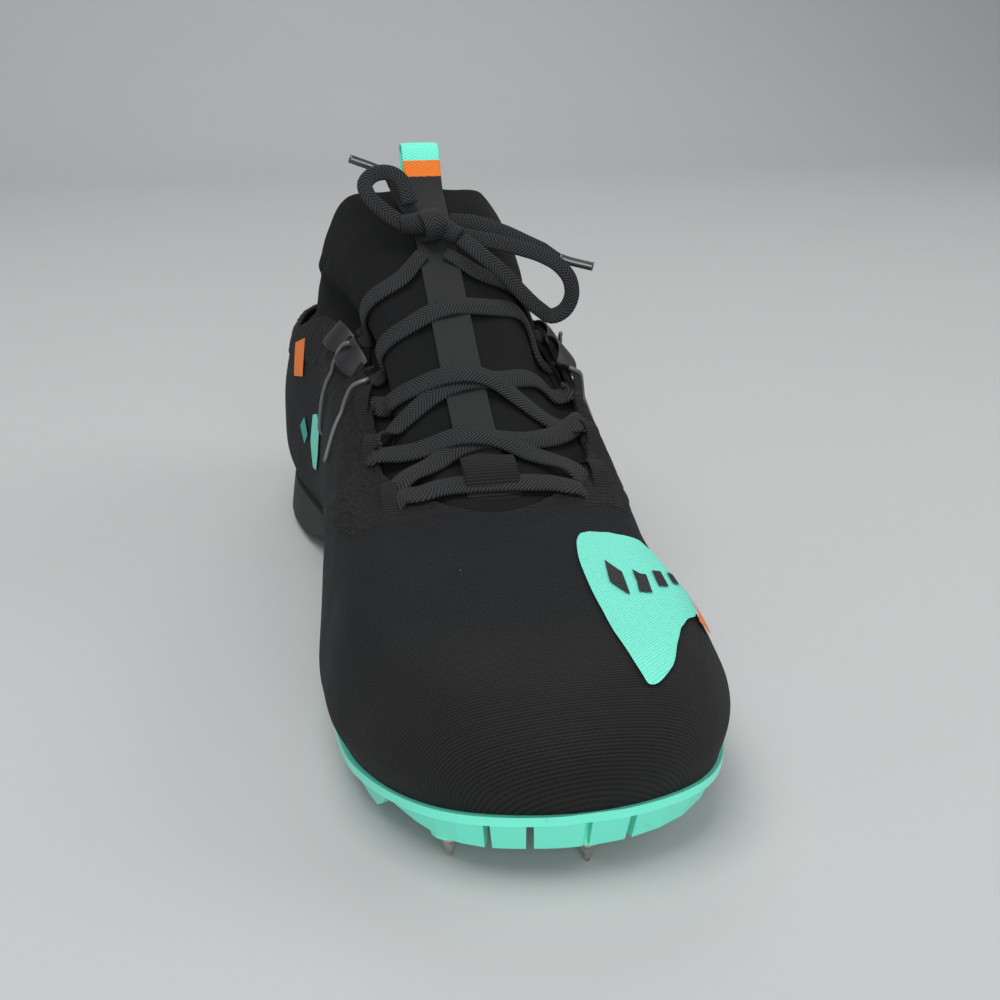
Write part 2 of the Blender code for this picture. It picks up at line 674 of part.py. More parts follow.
def strip_solid(name, path, x, width, thickness, collection, look):
    """A strip of cloth along a path in the plane of x, extruded to its width."""
    path = np.asarray(path, float)
    on = np.gradient(path, axis=0)
    on /= np.linalg.norm(on, axis=1, keepdims=True)
    across = np.stack([-on[:, 1], on[:, 0]], axis=1) * thickness / 2
    points = []
    for (y, z), (dy, dz) in zip(path, across):
        for side, lift in ((-1, 1), (1, 1), (1, -1), (-1, -1)):
            points.append((x + side * width / 2, y + lift * dy, z + lift * dz))
    return mesh_object(name, points, tube_faces(len(path), 4), collection, look, smooth=False)


def build_ribbon(parts, look, tree):
    """The woven ribbon on the tongue, from the keeper up to the rim and over it as a pull loop."""
    lift = SEAT_GAP + 0.0003 + RIBBON_THICKNESS / 2
    path = []
    first = -LENGTH / 2 + RIBBON_START
    top = -LENGTH / 2 + TONGUE_SETBACK - 0.0015
    for y in np.linspace(first, top, 12):
        rows = [drop(tree, RIBBON_X + side * RIBBON_WIDTH / 2, y) for side in (-1.0, 0.0, 1.0)]
        z = max(place.z for place, _ in rows if place is not None)
        normal = rows[1][1]
        path.append((y + normal.y * lift, z + normal.z * lift))
    path = np.array(path)
    lean = path[-1] - path[-3]
    lean /= np.linalg.norm(lean)
    lean = lean * 0.55 + np.array([-0.05, 1.0]) * 0.45
    lean /= np.linalg.norm(lean)
    side = np.array([lean[1], -lean[0]])
    bend_start = path[-1] + lean * RIBBON_LOOP_RISE
    half_gap = RIBBON_LOOP_RADIUS
    centre = bend_start + side * half_gap
    bend = [
        centre - side * half_gap * math.cos(a) + lean * half_gap * math.sin(a)
        for a in np.linspace(0, math.pi, 7)
    ]
    tuck = [bend[-1] - lean * RIBBON_TUCK * share + side * RIBBON_LOOP_RADIUS * share for share in (0.35, 0.7, 1.15)]
    whole = np.vstack([path, bend, tuck])
    return strip_solid("pull_ribbon", whole, RIBBON_X, RIBBON_WIDTH, RIBBON_THICKNESS, parts, look)


def build_keeper(parts, look, tree):
    """The folded patch on the tongue's lower end, an arch over the lowest bar of the lace."""
    bar = taut_path(tree, eye_point(EYES[0], -1), eye_point(EYES[0], 1), 11)[5]
    first = -LENGTH / 2 + KEEPER_START
    last = -LENGTH / 2 + RIBBON_START - 0.0010
    seat = SEAT_GAP + 0.0003 + KEEPER_THICKNESS / 2

    def base(y):
        return seat + max(drop(tree, RIBBON_X + side * KEEPER_WIDTH / 2, y)[0].z for side in (-1.0, 0.0, 1.0))

    over_bar = bar[2] + LACE_THICKNESS / 2 + 2 * LACE_GAP + KEEPER_THICKNESS / 2 + 0.42 * LACE_WIDTH - base(bar[1])
    path = []
    for y in np.linspace(first, last, 13):
        arch = max(0.0, 1.0 - (abs(y - bar[1]) / (LACE_WIDTH / 2 + 0.0042)) ** 2.5)
        path.append((y, base(y) + arch * over_bar))
    return strip_solid("keeper", path, RIBBON_X, KEEPER_WIDTH, KEEPER_THICKNESS, parts, look)


def place_at(y, side, level=EDGE):
    """Place round the shoe where a level passes y, on the inner (-1) or outer (+1) side."""
    if side < 0:
        places = np.linspace(0.02, 0.498, 240)
        heights = closed_curve(level_keys(level), places)[:, 1]
        return float(np.interp(-y, -heights, places))
    places = np.linspace(0.502, 0.98, 240)
    heights = closed_curve(level_keys(level), places)[:, 1]
    return float(np.interp(y, heights, places))


def eye_place(row, side):
    """Place round the shoe of one eye."""
    along = row.inner if side < 0 else row.outer
    return place_at(-LENGTH / 2 + along * LENGTH, side)


def eye_point(row, side):
    """The point on the throat's edge where a lace row meets its eye."""
    return last_points([eye_place(row, side)], [EDGE])[0, 0]


def taut_path(tree, start, end, count):
    """A lace pulled tight from start to end over the pieces below it: plan points with the lowest arch that clears."""
    share = np.linspace(0.0, 1.0, 33)
    plan = start[None, :2] + share[:, None] * (end - start)[None, :2]
    across = np.array([-(end - start)[1], (end - start)[0]])
    across *= 0.5 * LACE_WIDTH / np.linalg.norm(across)
    run = share * np.linalg.norm((end - start)[:2])
    tops = []
    for point in plan:
        found = [drop(tree, *(point + side * across))[0] for side in (-1.0, 0.0, 1.0)]
        tops.append(max(place.z for place in found if place is not None))
    tops = np.array(tops) + LACE_GAP + LACE_THICKNESS / 2
    hull = [0]
    for index in range(1, len(run)):
        while len(hull) > 1:
            a, b = hull[-2], hull[-1]
            if (tops[b] - tops[a]) * (run[index] - run[a]) <= (tops[index] - tops[a]) * (run[b] - run[a]):
                hull.pop()
            else:
                break
        hull.append(index)
    arch = np.interp(run, run[hull], tops[hull])
    picked = np.linspace(0, len(run) - 1, count).round().astype(int)
    return np.column_stack([plan[picked], arch[picked]])


def lace_solid(name, path, collection, look, width=LACE_WIDTH, thickness=LACE_THICKNESS, up=(0.0, -0.35, 1.0)):
    """A flat lace along a path: an oval section whose broad side faces up."""
    path = np.asarray(path, float)
    on = np.gradient(path, axis=0)
    on /= np.linalg.norm(on, axis=1, keepdims=True)
    side = np.cross(on, np.broadcast_to(np.asarray(up, float), on.shape))
    side /= np.linalg.norm(side, axis=1, keepdims=True)
    face = np.cross(side, on)
    turns = np.linspace(0, 2 * math.pi, 6, endpoint=False)
    points = []
    for centre, across, out in zip(path, side, face):
        points += [centre + across * width / 2 * math.cos(t) + out * thickness / 2 * math.sin(t) for t in turns]
    return mesh_object(name, points, tube_faces(len(path), len(turns)), collection, look)


def lace_runs():
    """Every tight run of the lace as (start, end): a bar, two crossings, an upper bar and the runs to the knot."""
    eye = {(row, side): eye_point(EYES[row], side) for row in range(len(EYES)) for side in (-1, 1)}
    knot = np.array(KNOT_AT)
    runs = [(eye[0, -1], eye[0, 1])]
    for row in (0, 1):
        runs += [(eye[row, -1], eye[row + 1, 1]), (eye[row, 1], eye[row + 1, -1])]
    runs.append((eye[3, -1], eye[3, 1]))
    for side in (-1, 1):
        runs += [(eye[2, side], eye[3, side]), (eye[3, side], eye[4, side])]
        runs.append((eye[4, side], knot + np.array([side * 0.84, 0.36, -0.32]) * KNOT_SIZE[0]))
    return runs


def build_lace_rows(parts, look, tree):
    """The laced part of the lace, its runs joined to one solid."""
    rows = None
    for start, end in lace_runs():
        run = lace_solid("lace_rows" if rows is None else "run", taut_path(tree, start, end, 11), parts, look)
        rows = run if rows is None else boolean(rows, run, "UNION")
    return rows


def beside(y, side, level):
    """Place round the shoe where any level, whole or not, passes y on the inner (-1) or outer (+1) side."""
    places = np.linspace(0.02, 0.498, 200) if side < 0 else np.linspace(0.502, 0.98, 200)
    heights = last_points(places, [level])[0, :, 1]
    return float(np.interp(side * y, side * heights, places))


def build_eye_loops(parts, look):
    """One strap for each eye, from the upper's side over the lace and down inside the throat's edge."""
    rise = LACE_THICKNESS + 5 * LACE_GAP + EYE_LOOP_THICKNESS / 2
    lift = SEAT_GAP + EYE_LOOP_THICKNESS / 2 + 0.0006
    for number, row in enumerate(EYES, start=1):
        for side, word in ((-1, "inner"), (1, "outer")):
            edge_at = eye_place(row, side)
            edge = last_points([edge_at], [EDGE])[0, 0]
            on = last_points([edge_at + 0.004], [EDGE])[0, 0] - last_points([edge_at - 0.004], [EDGE])[0, 0]
            on /= np.linalg.norm(on)
            path = []
            for level, share in ((EYE_LOOP_LOW, 0.0), (0.5 * (EYE_LOOP_LOW + 4.75), 0.15), (4.75, 0.7), (4.88, 0.98)):
                place = beside(edge[1], side, level)
                normal = last_normals([place], [level])[0, 0]
                path.append(last_points([place], [level])[0, 0] + normal * (lift + share * rise))
            up = edge - last_points([beside(edge[1], side, 4.8)], [4.8])[0, 0]
            up /= np.linalg.norm(up)
            path += [edge + normal * (lift + rise), edge + up * EYE_LOOP_REACH + normal * (lift + 0.8 * rise)]
            points = []
            for centre, tangent in zip(path, np.gradient(np.array(path), axis=0)):
                out = np.cross(tangent, on)
                out /= np.linalg.norm(out)
                for across, height in ((-1, 1), (1, 1), (1, -1), (-1, -1)):
                    points.append(
                        centre + across * on * EYE_LOOP_WIDTH / 2 + height * out * EYE_LOOP_THICKNESS / 2
                    )
            mesh_object(f"eye_loop_{word}_{number}", points, tube_faces(len(path), 4), parts, look, smooth=False)


def build_bow(parts, look, tip_look):
    """The knot, the bow's two loops and the two ends with their tips."""
    work = bmesh.new()
    bmesh.ops.create_icosphere(work, subdivisions=2, radius=0.5)
    for vertex in work.verts:
        vertex.co = Vector([c * size for c, size in zip(vertex.co, KNOT_SIZE)])
    mesh = bpy.data.meshes.new("lace_knot")
    work.to_mesh(mesh)
    work.free()
    knot = link(bpy.data.objects.new("lace_knot", mesh), parts, look)
    knot.location = KNOT_AT
    for name, route in FREE_LACES.items():
        lace_solid(name, route, parts, look, up=(0.0, -1.0, 0.25))
    for name, (start, end) in AGLETS.items():
        route = np.array([start, end])
        lace_solid(name, route, parts, tip_look, width=2 * AGLET_RADIUS, thickness=2 * AGLET_RADIUS)


def main():
    """Builds every piece of the shoe."""
    for obj in list(bpy.data.objects):
        bpy.data.objects.remove(obj)
    parts = bpy.data.collections.new("track_spike_shoe")
    bpy.context.scene.collection.children.link(parts)
    looks = {
        "mesh": material("black engineered mesh", BLACK_MESH, 0.85),
        "knit": material("black rib knit", BLACK_KNIT, 0.95),
        "foam": material("black foam", BLACK_FOAM, 0.7),
        "rubber": material("black rubber", BLACK_FOAM, 0.6),
        "film": material("black film", BLACK_FILM, 0.35),
        "lace": material("black lace", BLACK_LACE, 0.9),
        "mint": material("mint plate", MINT, 0.35),
        "steel": material("steel", STEEL, 0.35, 1.0),
    }
    upper = build_upper(parts, looks["mesh"])
    sock = build_sock(parts, looks["knit"])
    build_plate(parts, looks["mint"])
    build_pins(parts, looks["steel"])
    build_midsole(parts, looks["foam"])
    build_tread(parts, looks["rubber"])
    build_insole(parts, looks["foam"])
    bpy.context.view_layer.update()
    below = surface_tree(upper, sock)
    ribbon = build_ribbon(parts, looks["lace"], below)
    build_keeper(parts, looks["lace"], below)
    bpy.context.view_layer.update()
    build_lace_rows(parts, looks["lace"], surface_tree(upper, sock, ribbon))
    build_eye_loops(parts, looks["film"])
    build_bow(parts, looks["lace"], looks["film"])


main()
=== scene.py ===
"""Track spike shoe: a black knit upper and sock on a mint toothed plate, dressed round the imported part."""

from __future__ import annotations

import logging
import math
from collections.abc import Sequence
from dataclasses import dataclass
from enum import Enum

import bmesh
import bpy
import numpy as np
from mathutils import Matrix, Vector
from mathutils.bvhtree import BVHTree

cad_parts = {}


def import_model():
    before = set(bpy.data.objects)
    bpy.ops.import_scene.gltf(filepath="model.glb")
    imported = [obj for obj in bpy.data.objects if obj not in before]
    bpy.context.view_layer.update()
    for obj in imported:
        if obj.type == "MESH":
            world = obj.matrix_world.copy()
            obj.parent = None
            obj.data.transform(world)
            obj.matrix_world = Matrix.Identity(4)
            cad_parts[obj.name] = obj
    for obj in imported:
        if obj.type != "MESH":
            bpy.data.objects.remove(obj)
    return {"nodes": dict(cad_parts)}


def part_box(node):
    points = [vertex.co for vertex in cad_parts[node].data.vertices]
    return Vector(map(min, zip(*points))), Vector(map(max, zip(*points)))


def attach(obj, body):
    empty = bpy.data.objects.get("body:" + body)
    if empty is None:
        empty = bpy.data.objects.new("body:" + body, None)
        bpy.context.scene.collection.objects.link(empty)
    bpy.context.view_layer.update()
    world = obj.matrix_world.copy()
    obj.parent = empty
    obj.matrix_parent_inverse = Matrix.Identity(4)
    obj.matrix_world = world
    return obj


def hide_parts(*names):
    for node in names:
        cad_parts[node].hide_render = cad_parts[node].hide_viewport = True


LOG = logging.getLogger("track_spike_shoe")
MM = 0.001
BODY = "root"
Colour = tuple[float, float, float]
Point = tuple[float, float, float]
Stops = tuple[tuple[float, float], ...]
Object = bpy.types.Object
Material = bpy.types.Material
Socket = bpy.types.NodeSocket
ACROSS = np.array([1.0, 0.0, 0.0])


class Side(Enum):
    """The two sides of the left shoe."""

    INNER = -1
    OUTER = 1

    @property
    def word(self) -> str:
        """The side's name in node names."""
        return "inner" if self is Side.INNER else "outer"


class Level(Enum):
    """Named levels of the last: the wall above the foam, the throat's edge and the sock's rim."""

    WALL = 2
    EDGE = 5
    RIM = 6


# Curves


def running(steps: np.ndarray) -> np.ndarray:
    """Sums of the steps so far, from 0."""
    return np.concatenate([[0.0], np.cumsum(steps)])


def unit(vectors: np.ndarray) -> np.ndarray:
    """The vectors brought to length 1."""
    return vectors / np.linalg.norm(vectors, axis=-1, keepdims=True)


def tangents_of(values: np.ndarray, steps: np.ndarray) -> np.ndarray:
    """Slopes of a smooth curve at its knots, from the slopes on both sides of each."""
    slopes = np.diff(values, axis=0) / steps
    tangents = np.empty_like(values)
    weights = steps[1:] / (steps[:-1] + steps[1:])
    tangents[1:-1] = weights * slopes[:-1] + (1 - weights) * slopes[1:]
    tangents[0], tangents[-1] = slopes[0], slopes[-1]
    return tangents


def between(
    values: np.ndarray, tangents: np.ndarray, steps: np.ndarray, u: np.ndarray, index: tuple,
) -> np.ndarray:
    """Points of a smooth curve between its knots.

    Args:
        values: one value for each knot.
        tangents: the slopes there.
        steps: distances between the knots.
        u: shares of the way to the next knot.
        index: which knots the points lie behind.

    Returns:
        The points.
    """
    after = (index[0] + 1, *index[1:])
    h = steps[index]
    return (
        (2 * u**3 - 3 * u**2 + 1) * values[index]
        + (u**3 - 2 * u**2 + u) * h * tangents[index]
        + (3 * u**2 - 2 * u**3) * values[after]
        + (u**3 - u**2) * h * tangents[after]
    )


def hermite(knots: Sequence[float], values: Sequence, at: np.ndarray | float) -> np.ndarray:
    """Smooth curve through values at rising knots.

    Args:
        knots: rising places of the values.
        values: one number or point for each knot.
        at: the places to read.

    Returns:
        The values at those places.
    """
    knots = np.asarray(knots, float)
    values = np.asarray(values, float)
    at = np.atleast_1d(np.asarray(at, float))
    shape = (-1, *([1] * (values.ndim - 1)))
    steps = np.diff(knots).reshape(shape)
    index = np.clip(np.searchsorted(knots, at, side="right") - 1, 0, len(steps) - 1)
    share = (at - knots[index]).reshape(shape) / steps[index]
    return between(values, tangents_of(values, steps), steps, share, (index,))


def smooth(low: float, high: float, value: np.ndarray | float) -> np.ndarray:
    """Soft step from 0 at low to 1 at high."""
    share = np.clip((np.asarray(value, float) - low) / (high - low), 0.0, 1.0)
    return share * share * (3 - 2 * share)


def resampled(route: Sequence[Point], step: float) -> np.ndarray:
    """Points a step apart on the smooth curve through a route.

    Args:
        route: points along the cord.
        step: distance between the new points.

    Returns:
        The new points.
    """
    route = np.asarray(route, float)
    knots = running(np.linalg.norm(np.diff(route, axis=0), axis=1))
    fine = hermite(knots, route, np.linspace(0.0, knots[-1], 400))
    run = running(np.linalg.norm(np.diff(fine, axis=0), axis=1))
    count = max(4, round(run[-1] / step))
    wanted = np.linspace(0.0, run[-1], count)
    return np.column_stack([np.interp(wanted, run, fine[:, axis]) for axis in range(3)])


def evened(line: np.ndarray, weights: np.ndarray, kept: int = 0) -> np.ndarray:
    """Points along a line, each a weighted mean of those around it.

    Args:
        line: the points.
        weights: the weights of an odd number of neighbours.
        kept: how many points at each end stay as they are.

    Returns:
        The new points.
    """
    reach = len(weights) // 2
    padded = np.vstack([line[:1]] * reach + [line] + [line[-1:]] * reach)
    made = np.stack([np.convolve(column, weights, "valid") for column in padded.T], axis=1)
    made[:kept], made[len(line) - kept:] = line[:kept], line[len(line) - kept:]
    return made


def wobble(at: np.ndarray, seed: int, size: float) -> np.ndarray:
    """Slow seeded unevenness of a hand laid surface.

    Args:
        at: points, the last axis holding x, y and z.
        seed: number that sets the pattern.
        size: distance between its humps.

    Returns:
        One number from about -1 to 1 for each point.
    """
    draw = np.random.default_rng(seed)
    total = np.zeros(at.shape[:-1])
    for _ in range(4):
        direction = draw.normal(size=3)
        direction /= np.linalg.norm(direction)
        pitch = size * draw.uniform(0.6, 1.5)
        total += np.sin(2 * math.pi * (at @ direction) / pitch + draw.uniform(0, 6.28))
    return total / 4


# The last, repeated from the part's own tables


@dataclass(frozen=True)
class Last:
    """The foot form that every soft piece follows, as closed levels of key points."""

    length: float = 0.280
    ball_width: float = 0.0895
    heel_width: float = 0.070
    bend: float = 0.0070
    toe_stack: float = 0.0170
    ball_stack: float = 0.0100
    heel_stack: float = 0.0150
    throat_height: float = 0.0505
    eye_height: float = 0.058
    instep_height: float = 0.0725
    waist_height: float = 0.074
    topline_height: float = 0.062
    heel_top_height: float = 0.066
    tongue_setback: float = 0.181
    tongue_height: float = 0.117
    rim_side_height: float = 0.083
    rim_heel_height: float = 0.088

    STATIONS = {
        "tip": 0.0, "nose": 0.03, "toe": 0.12, "ball": 0.21, "instep": 0.40,
        "waist": 0.60, "heel": 0.84, "seat": 0.965, "back": 1.0,
    }
    NAMES = ("nose", "toe", "ball", "instep", "waist", "heel", "seat")
    WIDTHS = (
        (0.0033, 0.0045, 0.575, 0.885, 0.930, 0.850, 0.87, 0.90, 0.57),
        (0.0006, 0.0007, 0.600, 0.945, 0.985, 0.925, 0.98, 0.98, 0.64),
        (0.0012, 0.0000, 0.585, 0.900, 0.940, 0.890, 1.01, 0.99, 0.65),
        (0.0080, 0.0008, 0.530, 0.825, 0.855, 0.885, 1.00, 0.975, 0.64),
        (0.0290, 0.0028, 0.420, 0.710, 0.800, 0.820, 0.96, 0.93, 0.60),
        (0.078, 0.0060, 0.340, 0.590, 0.615, 0.625, 0.83, 0.85, 0.56),
        (0.181, 0.0120, 0.275, 0.440, 0.545, 0.590, 0.70, 0.52, 0.30),
    )
    MIDDLES = (
        (0.30, 0.11, 0.07, 0.36, 0.14, -0.60), (0.15, -0.08, 0.00, 0.36, 0.21, -0.60),
        (0.00, -0.26, -0.10, 0.33, 0.29, -0.60), (-0.10, -0.35, -0.30, 0.29, 0.36, -0.60),
        (-0.10, -0.29, -0.17, 0.50, 0.43, -0.57), (0.10, 0.36, 0.68, 0.80, 0.33, -0.57),
        (-0.04, 0.00, 0.24, 0.30, -0.05, -0.57),
    )
    RISES = (
        (0.00, 0.00, 0.00, 0.00, 0.00, 0.00, 0.00), (0.22, 0.23, 0.20, 0.155, 0.16, 0.20, 0.18),
        (0.44, 0.445, 0.41, 0.345, 0.37, 0.43, 0.40), (0.66, 0.66, 0.58, 0.47, 0.56, 0.64, 0.60),
        (0.80, 0.80, 0.74, 0.64, 0.76, 0.82, 0.81), (1.0,) * 7, (1.0,) * 7,
    )
    BED_AT = (0.0, 0.06, 0.14, 0.28, 0.42, 0.58, 0.75, 1.0)
    BED_TOE = (1.0, 0.66, 0.30, 0.02, 0.0, 0.0, 0.0, 0.0)
    BED_HEEL = (0.0, 0.0, 0.0, 0.0, 0.12, 0.62, 1.0, 1.08)

    def bed(self, y: np.ndarray | float) -> np.ndarray:
        """Height of the footbed at y."""
        along = np.clip((np.asarray(y, float) + self.length / 2) / self.length, 0.0, 1.0)
        toe, heel = (hermite(self.BED_AT, shares, along) for shares in (self.BED_TOE, self.BED_HEEL))
        ball = self.ball_stack
        return ball + toe * (self.toe_stack - ball) + heel * (self.heel_stack - ball)

    def heights(self, rim: bool) -> dict[str, float]:
        """Heights of the throat and topline, or of the sock's rim, by station."""
        if rim:
            top, low = self.tongue_height, self.rim_side_height
            falls = (top - share * (top - low) for share in (0.26, 0.50, 0.82))
            values = (top, *falls, low, low, self.rim_heel_height)
        else:
            values = (
                self.throat_height, 0.5 * (self.throat_height + self.eye_height), self.eye_height,
                self.instep_height, self.waist_height, self.topline_height, self.heel_top_height,
            )
        return dict(zip(("tip", "toe", "ball", "instep", "waist", "heel", "back"), values))

    @staticmethod
    def at_station(values: dict[str, float], station: str) -> float:
        """The value at a station: nose and seat lie between their neighbours."""
        if station == "nose":
            return 0.6 * values["tip"] + 0.4 * values["toe"]
        if station == "seat":
            return 0.4 * values["heel"] + 0.6 * values["back"]
        return values[station]

    def keys(self, index: int) -> np.ndarray:
        """The sixteen key points of a level, from the heel's back by the inner side to the toe and round."""
        front, back, *shares = self.WIDTHS[index]
        width = dict(zip(self.NAMES, shares))
        middle = dict(zip(("tip", "toe", "ball", "instep", "waist", "heel"), self.MIDDLES[index]))
        middle["back"] = middle["heel"]
        rise = dict(zip(("tip", "toe", "ball", "instep", "waist", "heel", "back"), self.RISES[index]))
        heights = self.heights(index == Level.RIM.value)
        start, end = -self.length / 2 + front, self.length / 2 - back
        order = ["back", "seat", "heel", "waist", "instep", "ball", "toe", "nose", "tip"]
        rounds = [(name, -1) for name in order] + [(name, 1) for name in order[-2:0:-1]]
        points = []
        for name, side in rounds:
            y = start + self.STATIONS[name] * (end - start)
            bed = float(self.bed(y)[0])
            half = 0.0 if name in ("tip", "back") else width[name]
            half *= (self.heel_width if name in ("waist", "heel", "seat") else self.ball_width) / 2
            x = self.at_station(middle, name) * self.bend + side * half
            height = bed + self.at_station(rise, name) * (self.at_station(heights, name) - bed)
            points.append((x, y, height))
        return np.array(points)

    def knots(self) -> np.ndarray:
        """Places of the key points round the shoe, from 0 to 1."""
        keys = self.keys(Level.WALL.value)
        steps = np.linalg.norm(np.diff(np.vstack([keys, keys[:1]]), axis=0), axis=1)
        inner = running(steps)
        tip = len(keys) // 2
        knots = np.empty(len(keys))
        knots[: tip + 1] = 0.5 * inner[: tip + 1] / inner[tip]
        knots[tip + 1:] = 1.0 - knots[tip - 1:0:-1]
        return knots

    def ring(self, index: int, places: np.ndarray) -> np.ndarray:
        """Points of one closed level at places from 0 to 1 round the shoe."""
        keys, knots = self.keys(index), self.knots()
        values = np.vstack([keys[-3:], keys, keys[:4]])
        wrapped = np.concatenate([knots[-3:] - 1.0, knots, knots[:4] + 1.0])
        return hermite(wrapped, values, np.mod(places, 1.0))

    def columns(self, places: np.ndarray) -> tuple[np.ndarray, np.ndarray, np.ndarray]:
        """The curves up the form at places: points, tangents and steps of every level."""
        rings = np.array([self.ring(index, places) for index in range(len(self.WIDTHS))])
        steps = np.linalg.norm(np.diff(rings, axis=0), axis=2, keepdims=True) ** 0.75
        return rings, tangents_of(rings, steps), steps

    def points(self, places: np.ndarray, levels: np.ndarray) -> np.ndarray:
        """Grid of points of the form.

        Args:
            places: places round the shoe, 0 at the heel's back, 0.5 at the toe, the inner side first.
            levels: heights in levels, 0 at the feather edge, 5 at the throat, 6 at the sock's rim.

        Returns:
            An array of levels by places by three.
        """
        places = np.atleast_1d(np.asarray(places, float))
        levels = np.atleast_1d(np.asarray(levels, float))
        whole = np.clip(levels.astype(int), 0, Level.RIM.value - 1)
        return between(*self.columns(places), (levels - whole)[:, None, None], (whole,))

    def paired(self, flat: np.ndarray) -> np.ndarray:
        """Points of the form at pairs of a place and a level."""
        places, levels = flat[:, 0], flat[:, 1]
        whole = np.clip(levels.astype(int), 0, Level.RIM.value - 1)
        return between(*self.columns(places), (levels - whole)[:, None], (whole, np.arange(len(places))))

    def spots(self, flat: np.ndarray) -> tuple[np.ndarray, np.ndarray]:
        """Points of the form and its outward normals at pairs of a place and a level."""
        flat = np.atleast_2d(np.asarray(flat, float))
        steps = ((0.002, 0.0), (0.0, 0.02))
        along, up = (self.paired(flat + step) - self.paired(flat - step) for step in steps)
        return self.paired(flat), unit(np.cross(along, up))

    def normals(self, places: np.ndarray, levels: np.ndarray) -> np.ndarray:
        """Outward normals on the grid of points. Up to the throat's edge they look down the wall only."""
        small, edge = 1e-3, Level.EDGE.value
        places = np.atleast_1d(np.asarray(places, float))
        levels = np.atleast_1d(np.asarray(levels, float))
        low = np.where(levels > edge, levels, np.maximum(levels - small, 0.0))
        high = np.where(levels > edge, np.minimum(levels + small, Level.RIM.value), np.maximum(levels, small))
        low = np.where(high - low < small / 2, low - small, low)
        up = self.points(places, high) - self.points(places, low)
        on = self.points(places + small, levels) - self.points(places - small, levels)
        return unit(np.cross(on, up))

    def cloth(self, grid: np.ndarray, top: np.ndarray) -> np.ndarray:
        """Flat cloth coordinates in metres: plan places, let out along the plan normal where the wall falls.

        Args:
            grid: levels by places by three.
            top: points of the level that the cloth is let out from, one for each place.

        Returns:
            An array of levels by places by two.
        """
        on = np.roll(grid, -1, axis=1) - np.roll(grid, 1, axis=1)
        plan = np.stack([on[..., 1], -on[..., 0]], axis=-1)
        plan /= np.linalg.norm(plan, axis=-1, keepdims=True) + 1e-9
        fall = np.clip(top[None, :, 2] - grid[..., 2], 0.0, None)
        return grid[..., :2] + plan * fall[..., None] * 0.85

    def place_of(self, y: float, side: Side, level: float) -> float:
        """Place round the shoe where a level passes y on one side."""
        places = np.linspace(0.02, 0.498, 240) if side is Side.INNER else np.linspace(0.502, 0.98, 240)
        ys = self.points(places, [level])[0, :, 1]
        return float(np.interp(side.value * y, side.value * ys, places))


LAST = Last()


# Mesh tools


def make_object(name: str, points: np.ndarray, faces: Sequence, look: Material | None) -> Object:
    """A smooth shaded mesh object.

    Args:
        name: the piece's name.
        points: its vertices in metres.
        faces: vertex numbers of each face.
        look: its material.

    Returns:
        The object.
    """
    mesh = bpy.data.meshes.new(name)
    vertices = np.asarray(points, float).reshape(-1, 3).tolist()
    mesh.from_pydata(vertices, [], [tuple(map(int, face)) for face in faces])
    mesh.shade_smooth()
    obj = bpy.data.objects.new(name, mesh)
    bpy.context.scene.collection.objects.link(obj)
    if look is not None:
        mesh.materials.append(look)
    return obj


def grid_quads(rows: int, columns: int, closed: bool, first: int = 0, turned: bool = False) -> np.ndarray:
    """Quads of a grid of points.

    Args:
        rows: number of rows.
        columns: number of points in a row.
        closed: whether the rows close round.
        first: number of the first point.
        turned: whether the faces look the other way.

    Returns:
        Vertex numbers, four for each quad.
    """
    across = columns if closed else columns - 1
    row, column = np.meshgrid(np.arange(rows - 1), np.arange(across), indexing="ij")
    low, high, after = row * columns, (row + 1) * columns, (column + 1) % columns
    quads = np.stack([low + column, low + after, high + after, high + column], axis=-1).reshape(-1, 4) + first
    return quads[:, ::-1] if turned else quads


def set_cloth_map(obj: Object, at: np.ndarray, name: str = "cloth") -> None:
    """Stores flat coordinates in metres as a map that the weaves read, one pair for each vertex."""
    layer = obj.data.uv_layers.new(name=name)
    index = np.empty(len(obj.data.loops), np.int32)
    obj.data.loops.foreach_get("vertex_index", index)
    layer.data.foreach_set("uv", np.asarray(at, np.float32).reshape(-1, 2)[index].ravel())


def set_mask(obj: Object, name: str, values: np.ndarray) -> None:
    """Stores one number for each vertex that a finish reads by name."""
    layer = obj.data.attributes.new(name, "FLOAT", "POINT")
    layer.data.foreach_set("value", np.asarray(values, np.float32).ravel())


def seat(obj: Object, slot: str, *nodes: str) -> Object:
    """Rides a piece on the shoe and lets it stand for CAD nodes, which are hidden."""
    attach(obj, BODY)
    if nodes:
        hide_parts(*nodes)
    return obj


